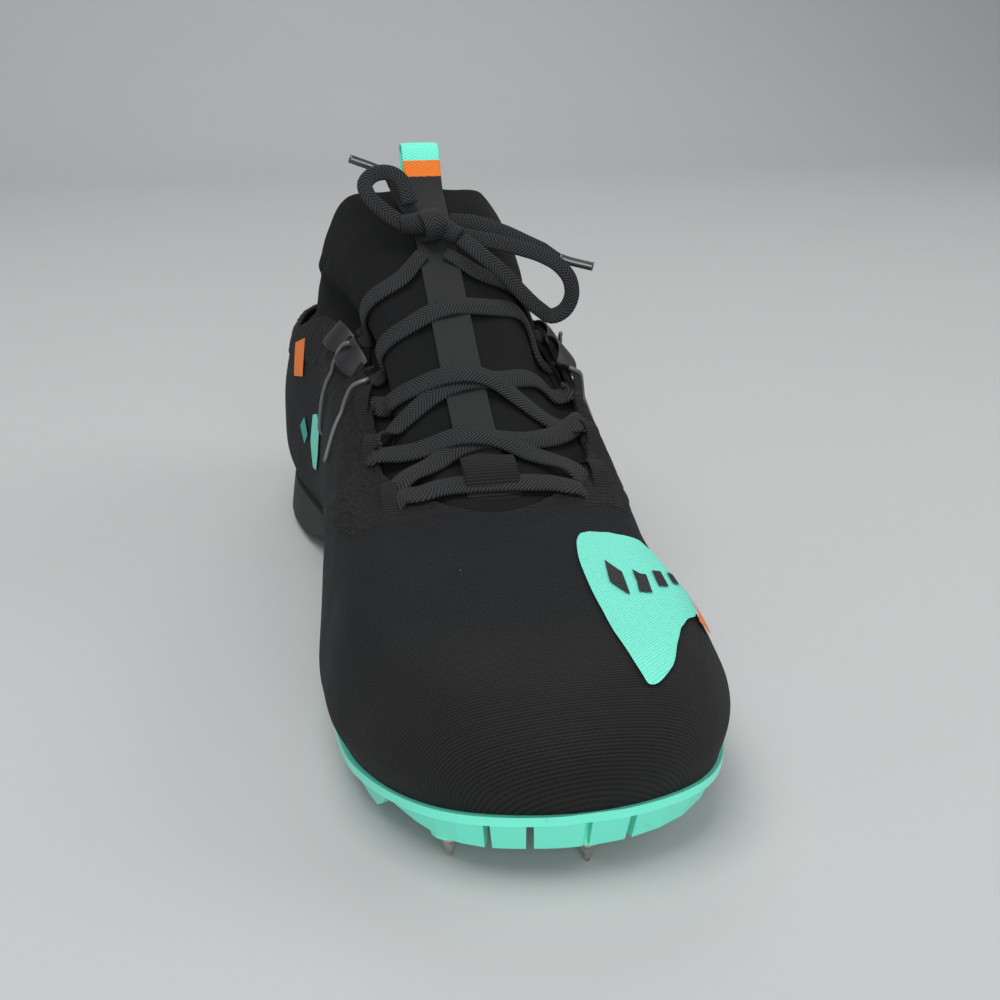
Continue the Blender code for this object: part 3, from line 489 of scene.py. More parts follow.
@dataclass(frozen=True)
class Sweep:
    """A flat or round section carried along a path."""

    width: float
    thickness: float
    corners: int = 16
    squareness: float = 0.8

    def section(self) -> tuple[np.ndarray, np.ndarray]:
        """Half offsets across and out of the cloth for one turn of the section."""
        turns = np.linspace(0.0, 2 * math.pi, self.corners, endpoint=False)
        across = np.sign(np.cos(turns)) * np.abs(np.cos(turns)) ** self.squareness
        out = np.sign(np.sin(turns)) * np.abs(np.sin(turns)) ** self.squareness
        return across * self.width / 2, out * self.thickness / 2

    def build(
        self, name: str, path: np.ndarray, up: np.ndarray, look: Material,
        widths: np.ndarray | None = None,
    ) -> Object:
        """The swept piece, with a cloth map that runs across and along it.

        Args:
            name: the piece's name.
            path: its middle line.
            up: one direction, or one for each point, that the broad face looks to.
            look: its material.
            widths: shares of the width along the path.

        Returns:
            The object, its ends closed.
        """
        path = np.asarray(path, float)
        on = unit(np.gradient(path, axis=0))
        side = unit(np.cross(on, np.broadcast_to(np.asarray(up, float), on.shape)))
        face = np.cross(side, on)
        across, out = self.section()
        scale = np.ones(len(path)) if widths is None else np.asarray(widths, float)
        points = (
            path[:, None]
            + side[:, None] * (across[None] * scale[:, None])[..., None]
            + face[:, None] * out[None, :, None]
        )
        rows, columns = points.shape[:2]
        quads = grid_quads(rows, columns, True).tolist()
        quads += [tuple(range(columns))[::-1], tuple(range((rows - 1) * columns, rows * columns))]
        obj = make_object(name, points, quads, look)
        run = running(np.linalg.norm(np.diff(path, axis=0), axis=1))
        flat = np.stack(np.broadcast_arrays(across[None], run[:, None]), axis=-1)
        set_cloth_map(obj, flat)
        return obj


def lace_section(width: float, thickness: float) -> Sweep:
    """The lace's flat section with round edges."""
    return Sweep(width, thickness, corners=14, squareness=0.7)


@dataclass(frozen=True)
class Shell:
    """A band of cloth with an outer and an inner face and rolled edges."""

    wall: float
    roll: int = 4

    def build(
        self, name: str, outer: np.ndarray, normal: np.ndarray, look: Material,
        maps: dict[str, np.ndarray], masks: dict[str, np.ndarray],
    ) -> Object:
        """The closed band.

        Args:
            name: the piece's name.
            outer: grid of its outer face, levels by places.
            normal: outward normals on the same grid.
            look: its material.
            maps: cloth coordinates on the same grid, by name.
            masks: numbers on the same grid that the finish reads, by name.

        Returns:
            The object, closed over its top and bottom edges.
        """
        count = outer.shape[0]
        half = self.wall / 2
        rows, sources = [outer], [np.arange(count)]
        for edge in (count - 1, 0):
            middle = outer[edge] - normal[edge] * half
            beyond = outer[edge] - outer[edge - 1 if edge else 1]
            beyond /= np.linalg.norm(beyond, axis=1, keepdims=True) + 1e-12
            arc = [
                middle + normal[edge] * half * math.cos(a) + beyond * half * 0.8 * math.sin(a)
                for a in np.linspace(0, math.pi, self.roll + 2)[1:-1]
            ]
            inside = outer - normal * self.wall
            if edge:
                rows += [np.array(arc), inside[::-1]]
                sources += [np.full(self.roll, edge), np.arange(count)[::-1]]
            else:
                rows.append(np.array(arc)[::-1])
                sources.append(np.full(self.roll, 0))
        points = np.concatenate(rows)
        source = np.concatenate(sources)
        total, columns = points.shape[:2]
        quads = grid_quads(total, columns, True).tolist()
        last = (total - 1) * columns
        quads += [(last + c, last + (c + 1) % columns, (c + 1) % columns, c) for c in range(columns)]
        obj = make_object(name, points, quads, look)
        for key, flat in maps.items():
            set_cloth_map(obj, flat[source], key)
        for key, values in masks.items():
            set_mask(obj, key, values[source])
        inner = np.zeros((total, columns))
        inner[count + self.roll: 2 * count + self.roll] = 1.0
        set_mask(obj, "lining", inner)
        return obj


# Finishes


class Graph:
    """A material's nodes, with short calls for the few kinds that the finishes use."""

    def __init__(self, name: str) -> None:
        """Starts a material with an empty Principled surface."""
        self.material = bpy.data.materials.new(name)
        self.material.use_nodes = True
        self.tree = self.material.node_tree
        self.shader = self.tree.nodes["Principled BSDF"]

    def node(self, kind: str, **settings: object) -> bpy.types.Node:
        """A new node with some of its settings."""
        made = self.tree.nodes.new(kind)
        for key, value in settings.items():
            setattr(made, key, value)
        return made

    def put(self, socket: Socket, value: object) -> None:
        """Sets a socket to a number or colour, or links it to an output."""
        if isinstance(value, Socket):
            self.tree.links.new(value, socket)
        else:
            colour = socket.type == "RGBA" and isinstance(value, tuple)
            socket.default_value = (*value, 1.0) if colour else value

    def math(self, kind: str, *values: object) -> Socket:
        """One step of arithmetic."""
        made = self.node("ShaderNodeMath", operation=kind)
        for socket, value in zip(made.inputs, values):
            self.put(socket, value)
        return made.outputs[0]

    def times(self, first: object, second: object) -> Socket:
        """One value times another."""
        return self.math("MULTIPLY", first, second)

    def plus(self, first: object, second: object) -> Socket:
        """The sum of two values."""
        return self.math("ADD", first, second)

    def scaled(self, value: object, factor: object, more: object) -> Socket:
        """A value times a factor, and then more added."""
        return self.math("MULTIPLY_ADD", value, factor, more)

    def mix(self, share: object, first: object, second: object) -> Socket:
        """A colour between two."""
        made = self.node("ShaderNodeMix", data_type="RGBA")
        self.put(made.inputs["Factor"], share)
        self.put(made.inputs[6], first)
        self.put(made.inputs[7], second)
        return made.outputs[2]

    def flat(self, name: str = "cloth") -> tuple[Socket, Socket, Socket]:
        """The cloth map as a vector and as its two coordinates, in metres."""
        at = self.node("ShaderNodeUVMap", uv_map=name).outputs[0]
        parts = self.node("ShaderNodeSeparateXYZ")
        self.put(parts.inputs[0], at)
        return at, parts.outputs[0], parts.outputs[1]

    def place(self) -> Socket:
        """The point on the object in metres."""
        return self.node("ShaderNodeTexCoord").outputs["Object"]

    def mask(self, name: str) -> Socket:
        """A number stored on the mesh."""
        return self.node("ShaderNodeAttribute", attribute_name=name).outputs["Fac"]

    def noise(self, at: object, scale: float, detail: float = 3.0, rough: float = 0.55) -> Socket:
        """Cloudy noise from 0 to 1."""
        made = self.node("ShaderNodeTexNoise")
        self.put(made.inputs["Vector"], at)
        made.inputs["Scale"].default_value = scale
        made.inputs["Detail"].default_value = detail
        made.inputs["Roughness"].default_value = rough
        return made.outputs["Fac"]

    def cells(self, at: object, scale: float) -> Socket:
        """Distance to the nearest of scattered points."""
        made = self.node("ShaderNodeTexVoronoi")
        self.put(made.inputs["Vector"], at)
        made.inputs["Scale"].default_value = scale
        return made.outputs["Distance"]

    def wave(self, value: object, pitch: float) -> Socket:
        """Sine of a coordinate, one turn in each pitch, from -1 to 1."""
        return self.math("SINE", self.times(value, 2 * math.pi / pitch))

    def step(self, value: object, low: float, high: float) -> Socket:
        """Soft step from 0 to 1."""
        made = self.node("ShaderNodeMapRange", interpolation_type="SMOOTHSTEP")
        self.put(made.inputs["Value"], value)
        made.inputs["From Min"].default_value = low
        made.inputs["From Max"].default_value = high
        return made.outputs[0]

    def bump(self, height: object, depth: float) -> Socket:
        """Bump from a height of about 0 to 1 over a depth in metres."""
        made = self.node("ShaderNodeBump")
        made.inputs["Strength"].default_value = 1.0
        made.inputs["Distance"].default_value = depth
        self.put(made.inputs["Height"], height)
        return made.outputs[0]

    def finish(self, **values: object) -> Material:
        """Sets the surface's sockets by name, with _ for a space, and returns the material."""
        for key, value in values.items():
            self.put(self.shader.inputs[key.replace("_", " ")], value)
        return self.material


@dataclass(frozen=True)
class VampKnit:
    """The upper's fine staggered knit, with a coarser lumpy band round the throat and a duller toe."""

    name: str = "vamp knit"
    black: Colour = (0.0085, 0.0095, 0.0105)
    band: Colour = (0.0085, 0.0085, 0.009)
    brown: Colour = (0.019, 0.0175, 0.0165)
    lint: Colour = (0.30, 0.31, 0.32)
    pitch_across: float = 1.15 * MM
    pitch_along: float = 0.80 * MM
    drift: float = 0.0011
    band_pitch: float = 1.7 * MM
    toe_pitch: float = 1.15 * MM
    depth: float = 0.24 * MM
    toe_depth: float = 0.22
    band_depth: float = 2.2
    thread_scale: float = 900.0
    lump_scale: float = 520.0
    lint_scale: float = 260.0

    def material(self) -> Material:
        """The finish as nodes."""
        g = Graph(self.name)
        at, u, v = g.flat()
        half = g.times(v, self.pitch_across / (2 * self.pitch_along))
        slow = g.times(g.noise(at, 60.0), self.drift)
        first = g.wave(g.plus(g.plus(u, slow), half), self.pitch_across)
        second = g.wave(g.math("SUBTRACT", g.plus(u, slow), half), self.pitch_across)
        dots = g.scaled(g.times(first, second), 0.5, 0.5)
        loose = g.noise(at, self.thread_scale, 2.0)
        fine = g.scaled(loose, 0.5, dots)
        lumps = g.cells(at, self.lump_scale)
        rows = g.wave(v, self.band_pitch)
        coarse = g.plus(g.times(lumps, 1.2), g.scaled(rows, 0.25, 0.3))
        band = g.mask("band")
        toe = g.mask("toe")
        ribs = g.scaled(g.wave(v, self.toe_pitch), 0.5, 0.5)
        fine = g.plus(fine, g.times(g.times(ribs, toe), self.toe_depth))
        share = g.step(band, 0.35, 0.65)
        plain = g.times(fine, g.math("SUBTRACT", 1.0, share))
        height = g.plus(plain, g.times(g.times(coarse, share), self.band_depth))
        cloud = g.noise(at, 35.0, 4.0)
        base = g.mix(g.times(toe, cloud), self.black, self.brown)
        base = g.mix(share, base, self.band)
        shade = g.scaled(dots, 1.5, 0.22)
        shaded = g.node("ShaderNodeMix", data_type="RGBA", blend_type="MULTIPLY")
        shaded.inputs["Factor"].default_value = 1.0
        g.put(shaded.inputs[6], base)
        grey = g.node("ShaderNodeCombineColor")
        for socket in grey.inputs:
            g.put(socket, shade)
        g.put(shaded.inputs[7], grey.outputs[0])
        specks = g.step(g.cells(at, self.lint_scale), 0.055, 0.035)
        rare = g.step(g.noise(at, 120.0, 1.0), 0.66, 0.72)
        colour = g.mix(g.times(specks, rare), shaded.outputs[2], self.lint)
        rough = g.scaled(g.noise(at, 90.0), 0.18, 0.60)
        return g.finish(
            Base_Color=colour, Roughness=rough, Normal=g.bump(height, self.depth), Sheen_Weight=0.012,
            Sheen_Roughness=0.4, Specular_IOR_Level=0.14,
        )


@dataclass(frozen=True)
class RibKnit:
    """The sock's rib knit: columns of small loops, smoother at the ankle collar."""

    name: str = "rib knit"
    black: Colour = (0.0070, 0.0073, 0.0077)
    pitch: float = 1.05 * MM
    loop: float = 1.0 * MM
    depth: float = 0.16 * MM
    drift: float = 0.0009
    fuzz_scale: float = 1400.0
    collar_calm: float = 0.72

    def material(self) -> Material:
        """The finish as nodes."""
        g = Graph(self.name)
        at, u, v = g.flat("ribs")
        drift = g.times(g.noise(at, 45.0), self.drift)
        column = g.wave(g.plus(u, drift), self.pitch)
        leg = g.times(g.math("ABSOLUTE", column), self.loop * 0.35)
        loops = g.wave(g.plus(v, leg), self.loop)
        fuzz = g.noise(at, self.fuzz_scale, 2.0)
        collar = g.mask("collar")
        deep = g.scaled(collar, -self.collar_calm, 1.0)
        height = g.plus(g.times(g.scaled(column, 0.5, 0.5), deep),
                        g.scaled(loops, 0.16, g.times(fuzz, 0.22)))
        shade = g.mix(g.scaled(column, 0.5, 0.5), (0.006, 0.006, 0.0065), self.black)
        worn = g.mix(g.times(g.noise(at, 30.0), 0.5), shade, (0.016, 0.0165, 0.017))
        return g.finish(
            Base_Color=worn, Roughness=0.92, Normal=g.bump(height, self.depth), Sheen_Weight=0.012,
            Sheen_Roughness=0.4, Specular_IOR_Level=0.10,
        )


@dataclass(frozen=True)
class Braid:
    """A woven lace or webbing: oblique yarns that meet on the middle line, with painted shade between the
    yarns.
    """

    name: str
    colour: Colour = (0.034, 0.035, 0.036)
    dark: Colour = (0.004, 0.004, 0.0045)
    pitch: float = 0.95 * MM
    slant: float = 0.8
    depth: float = 0.22 * MM
    fibre_scale: float = 1500.0

    def material(self) -> Material:
        """The finish as nodes."""
        g = Graph(self.name)
        at, u, v = g.flat()
        bent = g.times(g.math("ABSOLUTE", u), self.slant)
        yarn = g.wave(g.plus(v, bent), self.pitch)
        ends = g.wave(u, self.pitch * 0.9)
        cross = g.scaled(g.times(yarn, ends), 0.22, 0.5)
        height = g.plus(g.scaled(yarn, 0.35, cross), g.times(g.noise(at, self.fibre_scale), 0.3))
        # Painted shade: each yarn darkens towards the hollows between the yarns.
        colour = g.mix(g.scaled(yarn, 0.5, 0.5), self.dark, self.colour)
        return g.finish(
            Base_Color=colour, Roughness=0.82, Normal=g.bump(height, self.depth), Sheen_Weight=0.02,
            Sheen_Roughness=0.4, Specular_IOR_Level=0.2,
        )


@dataclass(frozen=True)
class PullTape:
    """The raised ribbon: black webbing with a mint top and an orange band below it."""

    name: str = "pull tape"
    black: Colour = (0.014, 0.0145, 0.015)
    mint: Colour = (0.17, 0.80, 0.62)
    orange: Colour = (0.80, 0.19, 0.02)
    mint_at: float = 0.1126
    orange_at: float = 0.1078
    blur: float = 0.0001
    pitch: float = 0.9 * MM
    ends_pitch: float = 0.8 * MM
    slant: float = 0.5
    depth: float = 0.16 * MM
    fibre_scale: float = 1300.0

    def material(self) -> Material:
        """The finish as nodes, its colours by the length along the ribbon."""
        g = Graph(self.name)
        at, u, v = g.flat()
        yarn = g.wave(g.plus(v, g.times(g.math("ABSOLUTE", u), self.slant)), self.pitch)
        ends = g.wave(u, self.ends_pitch)
        height = g.plus(g.scaled(g.times(yarn, ends), 0.3, 0.5),
                        g.times(g.noise(at, self.fibre_scale), 0.25))
        ragged = g.plus(v, g.scaled(g.noise(at, 900.0), 0.0006, -0.0003))
        colour = self.black
        for edge, band in ((self.orange_at, self.orange), (self.mint_at, self.mint)):
            colour = g.mix(g.step(ragged, edge - self.blur, edge + self.blur), colour, band)
        colour = g.mix(g.scaled(yarn, 0.11, 0.12), colour, (0.010, 0.010, 0.011))
        return g.finish(
            Base_Color=colour, Roughness=0.78, Normal=g.bump(height, self.depth), Sheen_Weight=0.04,
            Sheen_Roughness=0.4, Specular_IOR_Level=0.3,
        )


@dataclass(frozen=True)
class Moulded:
    """Moulded plastic or rubber with a fine skin, and scuffs of grime scattered at random."""

    name: str
    colour: Colour
    grime: Colour = (0.02, 0.02, 0.02)
    grime_share: float = 0.0
    rough: float = 0.35
    coat: float = 0.0
    grain: float = 900.0
    depth: float = 0.02 * MM
    inside: float = 0.0

    def material(self) -> Material:
        """The finish as nodes."""
        g = Graph(self.name)
        at = g.place()
        skin = g.noise(at, self.grain, 2.0)
        cloud = g.noise(at, 55.0, 5.0, 0.65)
        marks = g.step(g.noise(at, 260.0, 4.0, 0.7), 0.60, 0.72)
        colour = g.mix(g.times(g.times(marks, cloud), self.grime_share), self.colour, self.grime)
        rough = g.scaled(cloud, 0.22, self.rough - 0.08)
        height = g.plus(g.times(skin, 0.6), g.times(cloud, 0.8))
        values = {"Subsurface_Weight": self.inside} if self.inside else {}
        made = g.finish(
            Base_Color=colour, Roughness=rough, Normal=g.bump(height, self.depth), Coat_Weight=self.coat,
            Coat_Roughness=0.25, **values,
        )
        if self.inside:
            g.shader.inputs["Subsurface Scale"].default_value = 0.002
        return made


@dataclass(frozen=True)
class Steel:
    """Turned steel of the pins, with fine rings and dull spots."""

    name: str = "turned steel"
    colour: Colour = (0.62, 0.58, 0.54)
    dull: Colour = (0.25, 0.22, 0.20)
    ring_pitch: float = 0.35 * MM
    depth: float = 0.03 * MM

    def material(self) -> Material:
        """The finish as nodes."""
        g = Graph(self.name)
        at = g.place()
        parts = g.node("ShaderNodeSeparateXYZ")
        g.put(parts.inputs[0], at)
        rings = g.wave(parts.outputs[2], self.ring_pitch)
        cloud = g.noise(at, 700.0, 3.0)
        colour = g.mix(g.step(cloud, 0.5, 0.75), self.colour, self.dull)
        return g.finish(
            Base_Color=colour, Metallic=1.0, Roughness=g.scaled(cloud, 0.3, 0.2),
            Normal=g.bump(g.scaled(rings, 0.3, cloud), self.depth),
        )


@dataclass(frozen=True)
class Print:
    """A thin rubbery print on the knit, whose weave still shows a little, with painted shade in its hollows.
    """

    name: str
    colour: Colour
    rough: float = 0.5
    pitch_across: float = 1.1 * MM
    pitch_along: float = 0.8 * MM
    depth: float = 0.12 * MM

    def material(self) -> Material:
        """The finish as nodes."""
        g = Graph(self.name)
        at, u, v = g.flat()
        weave = g.times(g.wave(u, self.pitch_across), g.wave(v, self.pitch_along))
        skin = g.noise(at, 1200.0, 3.0)
        colour = g.mix(g.times(g.step(skin, 0.55, 0.75), 0.22), self.colour, (0.05, 0.06, 0.06))
        # Painted shade: the print's colour darkens to a copy of itself in the weave's hollows.
        weave_shade = g.scaled(weave, -0.22, 0.20)
        colour = g.mix(weave_shade, colour, tuple(0.30 * part for part in self.colour))
        return g.finish(
            Base_Color=colour, Roughness=self.rough,
            Normal=g.bump(g.scaled(weave, 0.6, skin), self.depth), Specular_IOR_Level=0.3,
        )


class Finishes:
    """Every finish of the shoe, made once."""

    def __init__(self) -> None:
        """Makes the materials."""
        self.vamp = VampKnit().material()
        self.ribs = RibKnit().material()
        self.lace = Braid("lace weave").material()
        self.webbing = Braid("loop webbing", (0.014, 0.014, 0.0145), pitch=0.8 * MM, slant=0.0).material()
        self.tape = PullTape().material()
        self.film = Moulded("loop film", (0.009, 0.009, 0.010), rough=0.48).material()
        self.cord = Moulded("side cord", (0.09, 0.09, 0.093), rough=0.35, coat=0.2).material()
        self.plate = Moulded(
            "mint plate", (0.16, 0.80, 0.60), (0.05, 0.22, 0.17), grime_share=0.55, rough=0.34, coat=0.25,
            grain=500.0, depth=0.05 * MM, inside=0.12,
        ).material()
        self.foam = Moulded(
            "black foam", (0.016, 0.016, 0.017), (0.05, 0.05, 0.05), grime_share=0.5, rough=0.72,
            grain=1500.0, depth=0.10 * MM,
        ).material()
        self.rubber = Moulded(
            "heel rubber", (0.020, 0.020, 0.021), (0.08, 0.075, 0.07), grime_share=0.7, rough=0.6,
            grain=1200.0, depth=0.06 * MM,
        ).material()
        self.steel = Steel().material()
        self.tip = Moulded("lace tip", (0.03, 0.03, 0.032), rough=0.12, coat=0.8).material()
        self.prints = {
            colour: Print(f"{colour} print", shade).material()
            for colour, shade in (
                ("mint", (0.18, 0.76, 0.60)), ("orange", (0.82, 0.20, 0.03)),
                ("black", (0.010, 0.011, 0.012)), ("teal", (0.03, 0.36, 0.33)),
            )
        }
        self.footbed = Moulded(
            "footbed cloth", (0.03, 0.03, 0.032), rough=0.9, grain=1800.0, depth=0.12 * MM
        ).material()


# Pieces


def knit_waves(form: np.ndarray) -> np.ndarray:
    """The upper's slow unevenness in metres, which the prints on it follow."""
    return wobble(form, 3, 0.030) * 0.00022


def dome_share(off: np.ndarray, levels: np.ndarray) -> np.ndarray:
    """Share of the sock's fullness above the throat, by the distance from the middle and the level."""
    return smooth(0.02, 0.08, off) * smooth(0.42, 0.20, off) * smooth(5.30, 5.85, levels)


@dataclass(frozen=True)
class SockFit:
    """The sock's depth under the last, its further dip at the throat and the fullness of its dome."""

    inset: float = 0.0026
    dip: float = 0.0020
    fullness: float = 0.0052


@dataclass(frozen=True)
class Tape:
    """Size and place of the pull ribbon: its middle line lies at x."""

    x: float = 0.0010
    width: float = 0.0122
    thickness: float = 0.0010


@dataclass
class Upper:
    """The hollow knitted upper with its lacing band, flex lines and rolled edges."""

    looks: Finishes
    wall: float = 0.0018
    around: int = 440
    up: int = 96
    band_lift: float = 0.00045
    toe_start: float = -0.122
    toe_end: float = -0.098
    lumps: float = 0.00022
    crease_width: float = 0.0028
    crease_depth: float = 0.00045

    CREASES = ((-0.060, 0.25, 0.5), (-0.046, 0.10, 0.7), (-0.031, -0.05, 0.5), (-0.016, -0.2, 0.4))

    def band(self, places: np.ndarray, levels: np.ndarray) -> np.ndarray:
        """How far a place lies in the coarse band round the throat, from 0 to 1."""
        off = np.abs(places - 0.5)
        start = np.interp(
            off, (0.0, 0.02, 0.042, 0.08, 0.11, 0.17, 0.24, 0.5), (5.0, 4.99, 4.93, 4.62, 4.2, 3.8, 4.0, 4.3)
        )
        return smooth(-0.045, 0.045, levels[:, None] - start[None])

    def build(self) -> Object:
        """The dressed upper, which stands for the part's own."""
        places = np.arange(self.around) / self.around
        levels = Level.EDGE.value * (np.linspace(0.0, 1.0, self.up) ** 0.92)
        form = LAST.points(places, levels)
        normal = LAST.normals(places, levels)
        band = self.band(places, levels)
        toe = 1.0 - smooth(self.toe_start, self.toe_end, form[..., 1])
        lift = band * self.band_lift + knit_waves(form)
        lift += band * wobble(form, 5, 0.0045) * self.lumps
        crease = np.zeros_like(lift)
        for y, slope, depth in self.CREASES:
            line = form[..., 1] - y - slope * np.abs(form[..., 0])
            crease += depth * np.exp(-((line / self.crease_width) ** 2))
        sides = smooth(1.0, 2.6, levels)[:, None] * smooth(4.8, 4.0, levels)[:, None]
        lift -= crease * sides * self.crease_depth
        piece = Shell(self.wall).build(
            "upper_knit", form + normal * lift[..., None], normal, self.looks.vamp,
            {"cloth": LAST.cloth(form, form[-1])}, {"band": band, "toe": toe},
        )
        return seat(piece, "upper_mesh", "upper")


@dataclass
class Sock:
    """The rib knit tongue and ankle collar in one."""

    looks: Finishes
    fit: SockFit
    wall: float = 0.0022
    roll: int = 6
    bottom: float = 4.35
    seam_level: float = 5.90
    seam_depth: float = 0.0003
    uneven: float = 0.00018
    front_lift: float = 0.0026
    around: int = 400
    up: int = 84

    def build(self) -> Object:
        """The dressed sock, which stands for the part's own."""
        places = np.arange(self.around) / self.around
        levels = np.linspace(self.bottom, Level.RIM.value, self.up)
        form = LAST.points(places, levels)
        normal = LAST.normals(places, levels)
        dips = hermite(
            (self.bottom, 4.7, 5.0, 5.14, 5.3, 5.48, 5.66, 5.84, 6.0),
            (0.0, 0.0, 0.3, 1.0, 1.15, 0.7, 0.2, 0.0, 0.0), levels,
        ) * self.fit.dip
        inset = self.fit.inset + dips
        seam = np.exp(-(((levels - self.seam_level) / 0.014) ** 2))[:, None]
        lift = wobble(form, 11, 0.02) * self.uneven - seam * self.seam_depth
        off = np.abs(places - 0.5)[None]
        lift = lift + dome_share(off, levels[:, None]) * self.fit.fullness
        front = smooth(0.075, 0.03, off) * (smooth(4.97, 5.02, levels) * smooth(5.24, 5.06, levels))[:, None]
        lift = lift + front * self.front_lift
        outer = form - normal * (inset[:, None] - lift)[..., None]
        behind = np.abs(((places + 0.5) % 1.0) - 0.5)
        collar = smooth(0.36, 0.30, behind)[None] * smooth(5.0, 5.3, levels)[:, None]
        middle = form[self.up // 2 - 2]
        around = np.cumsum(np.linalg.norm(np.diff(middle, axis=0, append=middle[:1]), axis=1))
        rise = np.cumsum(np.linalg.norm(np.diff(form, axis=0, prepend=form[:1]), axis=2), axis=0)
        ribs = np.stack([np.broadcast_to(around[None], rise.shape), rise], axis=-1)
        piece = Shell(self.wall, self.roll).build(
            "sock_knit", outer, normal, self.looks.ribs, {"cloth": LAST.cloth(form, form[-1]), "ribs": ribs},
            {"collar": collar},
        )
        return seat(piece, "rib_knit", "sock")


def surface_of(*objects: Object) -> BVHTree:
    """A tree for rays onto built pieces or CAD nodes."""
    points: list[Vector] = []
    faces: list[tuple[int, ...]] = []
    for obj in objects:
        first = len(points)
        points += [obj.matrix_world @ vertex.co for vertex in obj.data.vertices]
        faces += [tuple(first + i for i in polygon.vertices) for polygon in obj.data.polygons]
    return BVHTree.FromPolygons(points, faces)


def drop(tree: BVHTree, x: float, y: float) -> tuple[Vector | None, Vector | None]:
    """The highest point of the pieces under (x, y), with its normal."""
    place, normal, _, _ = tree.ray_cast(Vector((x, y, 1.0)), Vector((0, 0, -1)))
    return place, normal


@dataclass
class PullRibbon:
    """The raised webbing up the tongue and over the rim as a pull loop, and the patch at its lower end."""

    looks: Finishes
    tape: Tape
    tree: BVHTree
    patch: Object
    start: float = 0.0955
    rise: float = 0.0130
    radius: float = 0.0025
    tuck: float = 0.014
    gap: float = 0.0006
    short: float = 0.0015
    patch_thickness: float = 0.0012
    patch_sink: float = 0.0005
    margin: float = 0.0002

    def path(self) -> np.ndarray:
        """The ribbon's middle line, from the keeper up over the rim and back down inside."""
        lift = self.gap + self.tape.thickness / 2
        line = []
        toe, half = -LAST.length / 2, self.tape.width / 2
        for y in np.linspace(toe + self.start, toe + LAST.tongue_setback - self.short, 24):
            found = [drop(self.tree, self.tape.x + side * half, y) for side in (-1.0, 0.0, 1.0)]
            top = max(place.z for place, _ in found if place is not None)
            slope = found[1][1]
            line.append((y + slope.y * lift, top + slope.z * lift))
        line = evened(np.array(line), np.array([1.0, 2.0, 3.0, 2.0, 1.0]) / 9, 2)
        lean = unit(unit(line[-1] - line[-5]) * 0.55 + np.array([-0.05, 1.0]) * 0.45)
        side = np.array([lean[1], -lean[0]])
        shoulder = line[-1] + lean * self.rise
        centre = shoulder + side * self.radius
        bend = [
            centre - side * self.radius * math.cos(a) + lean * self.radius * math.sin(a)
            for a in np.linspace(0, math.pi, 13)
        ]
        tuck = [
            bend[-1] - lean * self.tuck * share + side * self.radius * share for share in (0.35, 0.7, 1.15)
        ]
        whole = np.vstack([line, bend, tuck])
        return resampled([(self.tape.x, y, z) for y, z in whole], 0.0009)

    def build(self) -> list[Object]:
        """The ribbon and its keeper."""
        path = self.path()
        up = np.cross(ACROSS, np.gradient(path, axis=0))
        sweep = Sweep(0.9 * self.tape.width, self.tape.thickness, 20, 0.45)
        ribbon = sweep.build("pull_tape", path, up, self.looks.tape)
        seat(ribbon, "webbing", "pull_ribbon")
        return [ribbon, self.keeper()]

    def keeper(self) -> Object:
        """The folded patch over the lowest bar of the lace, fitted to the part's own."""
        low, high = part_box("keeper")
        node = surface_of(self.patch)
        line = []
        for y in np.linspace(low[1] + self.margin, high[1] - self.margin, 26):
            place, _ = drop(node, (low[0] + high[0]) / 2, y)
            if place is not None:
                line.append((place.x, y, place.z - self.patch_sink))
        path = resampled(line, 0.0006)
        piece = Sweep(high[0] - low[0], self.patch_thickness, 20, 0.4).build(
            "keeper_patch", path, np.cross(ACROSS, np.gradient(path, axis=0)), self.looks.webbing
        )
        return seat(piece, "webbing", "keeper")


@dataclass(frozen=True)
class EyeRow:
    """Where the two eyes of one lacing row lie along the shoe, as shares of its length."""

    inner: float
    outer: float

    def y(self, side: Side) -> float:
        """The eye's place along the shoe in metres."""
        return -LAST.length / 2 + (self.inner if side is Side.INNER else self.outer) * LAST.length


EYES = tuple(EyeRow(inner, outer) for inner, outer in (
    (0.321, 0.337), (0.411, 0.411), (0.482, 0.493), (0.564, 0.543), (0.625, 0.589),
))


@dataclass(frozen=True)
class Run:
    """One run of the lace as stops on the last, each a place round the shoe and a level."""

    name: str
    stops: Stops
    over: float = 0.0
    tucked: tuple[bool, bool] = (True, True)


